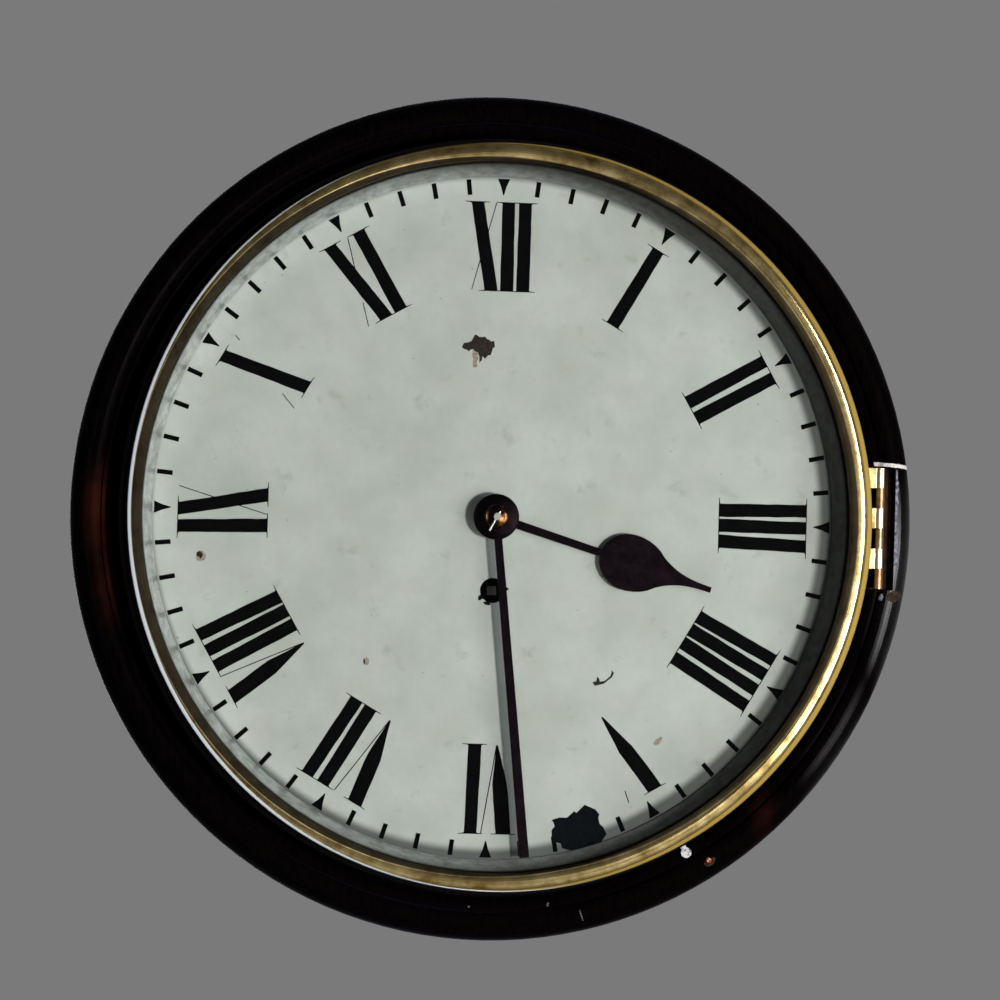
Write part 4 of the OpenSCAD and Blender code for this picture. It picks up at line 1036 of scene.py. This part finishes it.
    def flake(self, name: str, middle: Pair, outline: Sequence[Pair], finish: Finish, lift: float) -> None:
        """Adds a patch of lost paint with its own broken outline.

        Args:
            name: Name of the piece.
            middle: Millimetres right and up of the dial centre.
            outline: Millimetres from the middle, in order.
            finish: What shows in the patch.
            lift: Height of the patch over the numerals' paint.
        """
        mesh = bmesh.new()
        placed = [(middle[0] + x, middle[1] + z) for x, z in outline]
        add_plate(mesh, placed, FLAKE_BACK, DIAL_FACE + self.skin + lift)
        self.piece(name, mesh, finish, Body.CASE, "dial_paint")

    def chip(
        self, name: str, middle: Pair, size: Pair, finish: Finish, ragged: float, seed: int,
        turn: float = 0.0, lift: float = 0.02,
    ) -> None:
        """Adds a small roundish patch of lost paint, with a share by which its outline wanders."""
        outline = ragged_outline(seed, size, turn, wander=ragged, finest=12, fall=0.8, count=64)
        self.flake(name, middle, outline, finish, lift)

    def age(self) -> None:
        """Adds the chips and scars that the years have left."""
        rust = [
            (-8.4, -0.6), (-7.5, 1.3), (-5.9, 1.5), (-4.2, 2.3), (-3.5, 3.7), (-2.7, 5.2), (-1.5, 4.7),
            (-0.8, 4.1), (1.0, 4.2), (1.5, 4.5), (2.8, 3.2), (3.8, 3.0), (4.3, 2.3), (5.7, 2.7), (6.0, 1.3),
            (6.1, -0.2), (5.3, -0.5), (4.8, -2.5), (4.3, -3.7), (3.3, -3.7), (2.0, -5.4), (0.8, -4.3),
            (0.6, -6.0), (-0.5, -7.2), (-0.6, -4.5), (-1.2, -2.7), (-2.5, -2.2), (-3.5, -1.3), (-4.8, -1.7),
            (-5.2, -2.5), (-5.9, -1.8), (-7.5, -1.3),
        ]
        self.flake("chip_rust_upper", (-8.1, 74.5), rust, RUSTED_IRON, 0.03)
        peel = [
            (-3.5, -1.6), (-2.2, -2.0), (-1.1, -2.9), (-1.0, -5.4), (-1.8, -7.2), (-1.3, -8.2),
            (-1.8, -9.4), (-3.2, -9.2), (-3.5, -7.0), (-3.2, -5.4), (-3.9, -4.5),
        ]
        self.flake("chip_rust_upper_peel", (-8.1, 74.5), peel, PALE_CHIP, 0.01)
        iron = [
            (-12.7, 3.8), (-9.2, 5.0), (-5.9, 5.0), (-2.8, 7.9), (-1.8, 7.2), (1.7, 10.8), (6.5, 8.9),
            (8.4, 6.7), (7.9, 5.4), (8.5, 2.8), (10.2, 1.2), (11.7, -1.7), (9.7, -5.0), (7.4, -8.0),
            (2.0, -9.5), (-2.7, -9.5), (-7.7, -8.4), (-8.2, -6.4), (-9.9, -6.0), (-11.6, -5.2),
            (-12.4, -3.2), (-12.5, -0.5), (-11.2, 1.0), (-11.7, 2.7),
        ]
        self.flake("chip_iron_lower", (41.3, -135.1), iron, BARE_IRON, 0.02)
        hook = [
            (-4.0, -0.5), (-3.0, -2.0), (-0.8, -1.5), (1.0, -1.0), (2.5, 0.2), (3.7, 1.3), (4.5, 1.8),
            (5.4, 3.8), (4.2, 5.2), (4.3, 4.0), (3.9, 2.5), (2.7, 1.4), (1.3, 0.2), (-0.7, -0.1),
            (-1.2, 1.3), (-2.0, 2.0), (-2.3, 0.0),
        ]
        self.flake("chip_hook", (49.0, -70.3), hook, RUSTED_IRON, 0.02)
        self.chip("chip_left_ring", (-127.5, -20.7), (2.1, 2.4), PALE_CHIP, 0.12, 3, lift=0.01)
        self.chip("chip_left_rust", (-128.0, -20.1), (1.3, 1.4), RUST_STAIN, 0.3, 12, lift=0.02)
        self.chip("chip_lower_left", (-54.2, -64.4), (1.0, 1.7), PALE_CHIP, 0.25, 4)
        self.chip("chip_lower_left_dark", (-55.2, -64.4), (0.35, 1.4), RUSTED_IRON, 0.2, 14, 8, 0.03)
        self.chip("chip_wear_lower_right", (74.6, -95.8), (2.1, 1.3), PALE_CHIP, 0.2, 8, 40)
        self.chip("hole_chip_left", (-5.2, -35.2), (1.3, 1.0), BARE_IRON, 0.3, 31, 30)
        self.chip("hole_chip_right", (6.0, -31.2), (0.9, 0.8), BARE_IRON, 0.3, 32)
        self.chip("hole_chip_low", (-2.3, -37.6), (1.6, 0.8), BARE_IRON, 0.3, 33)

    def build(self) -> None:
        """Dresses the dial and paints it."""
        self.dress(ENAMELLED_IRON, "dial")
        self.dress(TONED_BRASS, "dial_feet")
        self.paint_numerals()
        self.paint_track()
        self.age()


@dataclass
class SurroundRing(Maker):
    """The turned wooden surround with its joint, its scars and its painted highlights."""

    joint_in: float = 28.1
    joint_out: float = 26.9
    joint_w: float = 1.6
    joint_from: float = -12.0
    joint_sweep: float = 126.0
    joint_waver: float = 0.12
    bead_mid_r: float = 171.0
    bead_w: float = 6.2
    bead_h: float = 7.2
    notch_low: float = -16.0
    notch_high: float = 26.0
    notch_right: float = 175.4
    lift: float = 0.05
    seed: int = 41

    def roll_point(self, angle: float) -> Pair:
        """Gives radius and depth of a point on the outer roll.

        Args:
            angle: Degrees up from the outer side of the roll.

        Returns:
            Millimetres from the dial's axis and out of the wall.
        """
        a = math.radians(angle)
        return (
            ROLL_CENTRE_R + (ROLL_HALF_W + self.lift) * math.cos(a),
            ROLL_CENTRE_Z + (ROLL_HALF_H + self.lift) * math.sin(a),
        )

    def wood_depth(self, radius: float) -> float:
        """Gives the depth of the wood's front, on the bead or on the roll.

        Args:
            radius: Millimetres from the dial's axis.

        Returns:
            Millimetres out of the wall.
        """
        if radius < self.bead_mid_r:
            share = (self.bead_mid_r - radius) / self.bead_w
            return DIAL_FACE + self.bead_h * math.sqrt(max(0.0, 1 - share * share)) + self.lift
        share = (radius - ROLL_CENTRE_R) / ROLL_HALF_W
        return ROLL_CENTRE_Z + ROLL_HALF_H * math.sqrt(max(0.0, 1 - share * share)) + self.lift

    def on_wood(self, mesh: Mesh, right: float, up: float) -> bmesh.types.BMVert:
        """Adds a point to the mesh that lies on the front of the wood."""
        return mesh.verts.new(dial_point(right, up, self.wood_depth(math.hypot(right, up))))

    def joint_line(self) -> None:
        """Adds the filled joint that crosses roll and bead above the hinge, from the wood's outer side."""
        rng = random.Random(self.seed)
        mesh = bmesh.new()
        steps = 40
        # Radius, depth and height of the line, over the roll and then over the bead
        course = []
        for i in range(steps + 1):
            radius, depth = self.roll_point(self.joint_from + self.joint_sweep * i / steps)
            course.append((radius, depth, self.joint_out + (self.joint_in - self.joint_out) * i / steps))
        bead = (171.6, 170.9, 170.0, 169.2, 168.6)
        course += [(radius, self.wood_depth(radius), self.joint_in + 0.2) for radius in bead]
        rows = []
        for radius, depth, up in course:
            row = []
            for side in (-self.joint_w / 2, self.joint_w / 2):
                z = up + side + rng.uniform(-self.joint_waver, self.joint_waver)
                row.append(mesh.verts.new(dial_point(math.sqrt(radius**2 - z**2), z, depth)))
            rows.append(row)
        join_rows(mesh, rows)
        self.piece("joint_filler", mesh, GESSO, Body.CASE, "surround_wood", smooth=True)

    def patch_on_wood(self, name: str, middle: Pair, size: Pair, finish: Finish, seed: int, turn: float = 0.0) -> None:
        """Lays a thin ragged patch on the front of the wood.

        Args:
            name: Name of the piece.
            middle: Millimetres right and up of the dial centre.
            size: Half width and half height in millimetres.
            finish: What the patch is of.
            seed: Seed of the outline.
            turn: Degrees that the patch is turned.
        """
        outline = ragged_outline(seed, size, turn, wander=0.22, finest=10, fall=1.0, count=36)
        mesh = bmesh.new()
        rings = [
            [self.on_wood(mesh, middle[0] + x * share, middle[1] + z * share) for x, z in outline]
            for share in (0.02, 0.35, 0.7, 1.0)
        ]
        mesh.faces.new(rings[0])
        join_rows(mesh, rings, closed=True)
        self.piece(name, mesh, finish, Body.CASE, "surround_wood", smooth=True)

    def notch_edge(self) -> None:
        """Adds the broken edge of the wood along the hinge recess, pale bluish as a painted highlight."""
        rng = random.Random(self.seed + 5)
        mesh = bmesh.new()
        steps = 44
        rows = []
        for i in range(steps + 1):
            up = self.notch_low + (self.notch_high - self.notch_low) * i / steps
            # The break is widest near its foot and three quarters up, and thins out between and at its top
            wide = 0.5 + 0.9 * abs(math.sin(0.9 + 5.2 * i / steps)) + rng.uniform(-0.35, 0.35)
            rows.append([self.on_wood(mesh, self.notch_right + part * wide, up) for part in (0.0, 0.5, 1.0)])
        join_rows(mesh, rows)
        self.piece("hinge_recess_edge", mesh, EDGE_HIGHLIGHT, Body.CASE, "surround_wood", smooth=True)

    def build(self) -> None:
        """Dresses the surround and adds its joint, its broken edge and its spots, with painted highlights on
        the edge and below the hinge.
        """
        self.dress(EBONISED, "surround")
        self.joint_line()
        self.notch_edge()
        self.patch_on_wood("rust_below_hinge", (176.0, -29.6), (3.2, 2.6), RUST_STAIN, 51, 20)
        # A painted highlight: a thin pale bluish line along the quirk below the hinge
        self.patch_on_wood("highlight_below_hinge", (170.2, -30.2), (0.8, 1.6), EDGE_HIGHLIGHT, 52, -10)
        self.patch_on_wood("dust_left", (-165.6, 6.6), (0.5, 0.5), DUST, 53)
        self.patch_on_wood("dust_lower_left", (-7.3, -169.3), (0.5, 0.45), DUST, 54)
        self.patch_on_wood("dust_lower", (27.2, -167.6), (0.8, 0.5), DUST, 55, 60)
        self.patch_on_wood("scratch_lower", (41.6, -171.9), (0.28, 2.6), DUST, 56, 22)
        self.patch_on_wood("rust_at_pin", (97.3, -147.4), (2.6, 1.7), RUST_STAIN, 57, 25)


@dataclass
class BezelRing(Maker):
    """The hinged brass bezel with its glass and sight ring."""

    def build(self) -> None:
        """Dresses the bezel and its hinge."""
        self.dress(SPUN_BRASS, "bezel")
        self.dress(SILVERED_BRASS, "sight_ring")
        self.dress(WINDOW_GLASS, "glass")
        self.dress(WORN_BRASS, "bezel_hinge_leaf")
        self.dress(RECESSED_BRASS, "bezel_hinge")
        self.dress(PALE_LUG, "bezel_lug")
        self.dress(COPPER_PIN, "bezel_pin")


@dataclass
class WoodenBox(Maker):
    """The box behind the surround with its doors, pegs and hanging plate."""

    def build(self) -> None:
        """Dresses the wood and the fittings."""
        self.dress(STAINED_PINE, "back_board", "case_box", "side_door", "bottom_door")
        self.dress(BARE_BEECH, "case_pegs", "surround_rails")
        self.dress(
            TONED_BRASS, "hanging_plate", "door_hinges", "side_door_leaves", "side_door_button",
            "bottom_door_leaves", "bottom_door_button",
        )
        self.dress(BRIGHT_STEEL, "slotted_screws")


@dataclass
class Hands(Maker):
    """Both hands, their collet and the pin that holds them."""

    def build(self) -> None:
        """Dresses the hands."""
        self.dress(BLUED_STEEL, "hour_hand", "minute_hand")
        self.dress(TONED_COLLET, "hand_collet")
        self.dress(BRIGHT_STEEL, "taper_pin")


@dataclass
class Works(Maker):
    """The fusee works between their plates, with the motion work in front."""

    def build(self) -> None:
        """Dresses plates, wheels, arbors, spring and line."""
        self.dress(GRAINED_BRASS, "back_plate", "back_cock", "motion_bridge", "pillars")
        self.dress(SHADED_BRASS, "front_plate")
        self.dress(
            TURNED_BRASS, "barrel", "barrel_cap", "fusee", "great_wheel", "centre_wheel", "third_wheel",
            "escape_wheel", "cannon_wheel", "minute_wheel", "hour_wheel",
        )
        self.dress(
            BRIGHT_STEEL, "barrel_arbor", "setup_ratchet", "setup_click", "stop_lever", "centre_arbor",
            "third_arbor", "escape_arbor", "anchor", "crutch",
        )
        self.dress(SHADED_STEEL, "fusee_arbor")
        self.dress(BLUED_STEEL, "mainspring")
        self.dress(GUT_LINE, "gut_on_barrel", "gut_run", "gut_on_fusee")


@dataclass
class Pendulum(Maker):
    """The short pendulum with its suspension, bob and rating nut."""

    def build(self) -> None:
        """Dresses the pendulum."""
        self.dress(BLUED_STEEL, "suspension_spring")
        self.dress(BRIGHT_STEEL, "pendulum_rod")
        self.dress(LACQUERED_BRASS, "pendulum_bob")
        self.dress(GRAINED_BRASS, "rating_nut")


def direction(azimuth: float, elevation: float) -> Vector:
    """Gives a direction out from the clock, in degrees to the right of the front and above the level."""
    a, e = math.radians(azimuth), math.radians(elevation)
    return Vector((math.sin(a) * math.cos(e), -math.cos(a) * math.cos(e), math.sin(e)))


@dataclass
class Studio:
    """Floor, lamps, world and camera."""

    aim: tuple[float, float, float] = (0.0021, -0.108, 0.0076)
    distance: float = 1.8
    azimuth: float = -6.0
    elevation: float = -2.1
    roll: float = -1.6
    lens: float = 148.4
    floor_z: float = -0.75
    floor_half: float = 2.2

    def floor(self) -> None:
        """Lays a wide pale floor below the clock."""
        mesh = bmesh.new()
        bmesh.ops.create_grid(mesh, x_segments=8, y_segments=8, size=self.floor_half)
        data = bpy.data.meshes.new("studio_floor")
        mesh.to_mesh(data)
        mesh.free()
        made = bpy.data.objects.new("studio_floor", data)
        made.location.z = self.floor_z
        bpy.context.scene.collection.objects.link(made)
        paper = MattePaint("studio_paper", one="#dcdcda", two="#d6d6d4", grain_mm=40.0, mirror=0.0)
        data.materials.append(paper.material())

    def lamp(
        self, name: str, azimuth: float, elevation: float, far: float, size: float, watts: float, tint: str,
        tall: float = 1.0, gleam: bool = False,
    ) -> None:
        """Adds a soft lamp that looks at the clock.

        Args:
            name: Name of the lamp.
            azimuth: Degrees round to the right from the front.
            elevation: Degrees above the level.
            far: Metres from the dial.
            size: Width in metres.
            watts: Power.
            tint: Colour.
            tall: Height for a width of one.
            gleam: Whether only polished surfaces show it.
        """
        data = bpy.data.lights.new(name, "AREA")
        data.shape = "ELLIPSE"
        data.size = size
        data.size_y = size * tall
        data.energy = watts
        data.color = linear(tint)[:3]
        made = bpy.data.objects.new(name, data)
        bpy.context.scene.collection.objects.link(made)
        back = direction(azimuth, elevation)
        made.location = Vector(self.aim) + back * far
        made.rotation_mode = "QUATERNION"
        made.rotation_quaternion = back.to_track_quat("Z", "Y")
        made.visible_diffuse = not gleam
        LOG.info("lamp %s", name)

    def light(self) -> None:
        """Sets the lamps and the world."""
        self.lamp("key_lamp", 22, -7, 1.7, 0.18, 20, "#fffdfb")
        self.lamp("wide_window", 46, -2, 2.0, 1.3, 13, "#f2f5ff")
        self.lamp("tall_window", 44, -2, 2.0, 0.44, 62, "#fbfbff", tall=4.0, gleam=True)
        self.lamp("left_window", -50, 0, 2.0, 0.5, 24, "#d8e8ff", tall=3.0, gleam=True)
        self.lamp("back_fill", 180, 6, 2.4, 1.6, 12, "#ffffff")
        world = bpy.data.worlds.new("studio_world")
        bpy.context.scene.world = world
        world.use_nodes = True
        tree = world.node_tree
        tree.nodes.clear()
        # A plain grey room. Its far end, which the polished front mirrors, lies in the dark
        facing = add_node(tree, "TexCoord", out="Generated")
        depth = add_node(tree, "SeparateXYZ", {0: facing}, "Y")
        share = add_node(
            tree, "MapRange", {"Value": depth, "From Min": -0.55, "From Max": 0.1},
            interpolation_type="SMOOTHSTEP",
        )
        tone = add_node(tree, "ValToRGB", {"Fac": share}, stops=[(0.0, "#2b2b2d"), (1.0, "#7a7a7a")])
        add_node(
            tree, "OutputWorld", {"Surface": add_node(tree, "Background", {"Color": tone, "Strength": 1.0})}
        )

    def camera(self) -> None:
        """Sets the camera at the photograph's angle."""
        data = bpy.data.cameras.new("studio_camera")
        data.lens = self.lens
        data.sensor_width = 36.0
        data.clip_start = 0.05
        data.clip_end = 200.0
        made = bpy.data.objects.new("studio_camera", data)
        bpy.context.scene.collection.objects.link(made)
        back = direction(self.azimuth, self.elevation)
        place = Matrix.Translation(Vector(self.aim) + back * self.distance)
        turn = (-back).to_track_quat("-Z", "Y").to_matrix().to_4x4()
        made.matrix_world = place @ turn @ Matrix.Rotation(math.radians(-self.roll), 4, "Z")
        bpy.context.scene.camera = made
        bpy.context.scene.view_settings.view_transform = "Standard"

    def build(self) -> None:
        """Builds the whole studio."""
        self.floor()
        self.light()
        self.camera()


def main() -> None:
    """Loads the frame, dresses the clock and sets the studio."""
    logging.basicConfig(level=logging.INFO, format="%(name)s: %(message)s")
    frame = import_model()
    nodes = frame["nodes"]
    makers: list[Maker] = [
        WoodenBox(nodes), SurroundRing(nodes), DialFace(nodes), BezelRing(nodes), Hands(nodes), Works(nodes),
        Pendulum(nodes),
    ]
    for maker in makers:
        LOG.info("building %s", type(maker).__name__)
        maker.build()
    Studio().build()


if __name__ == "__main__":
    main()
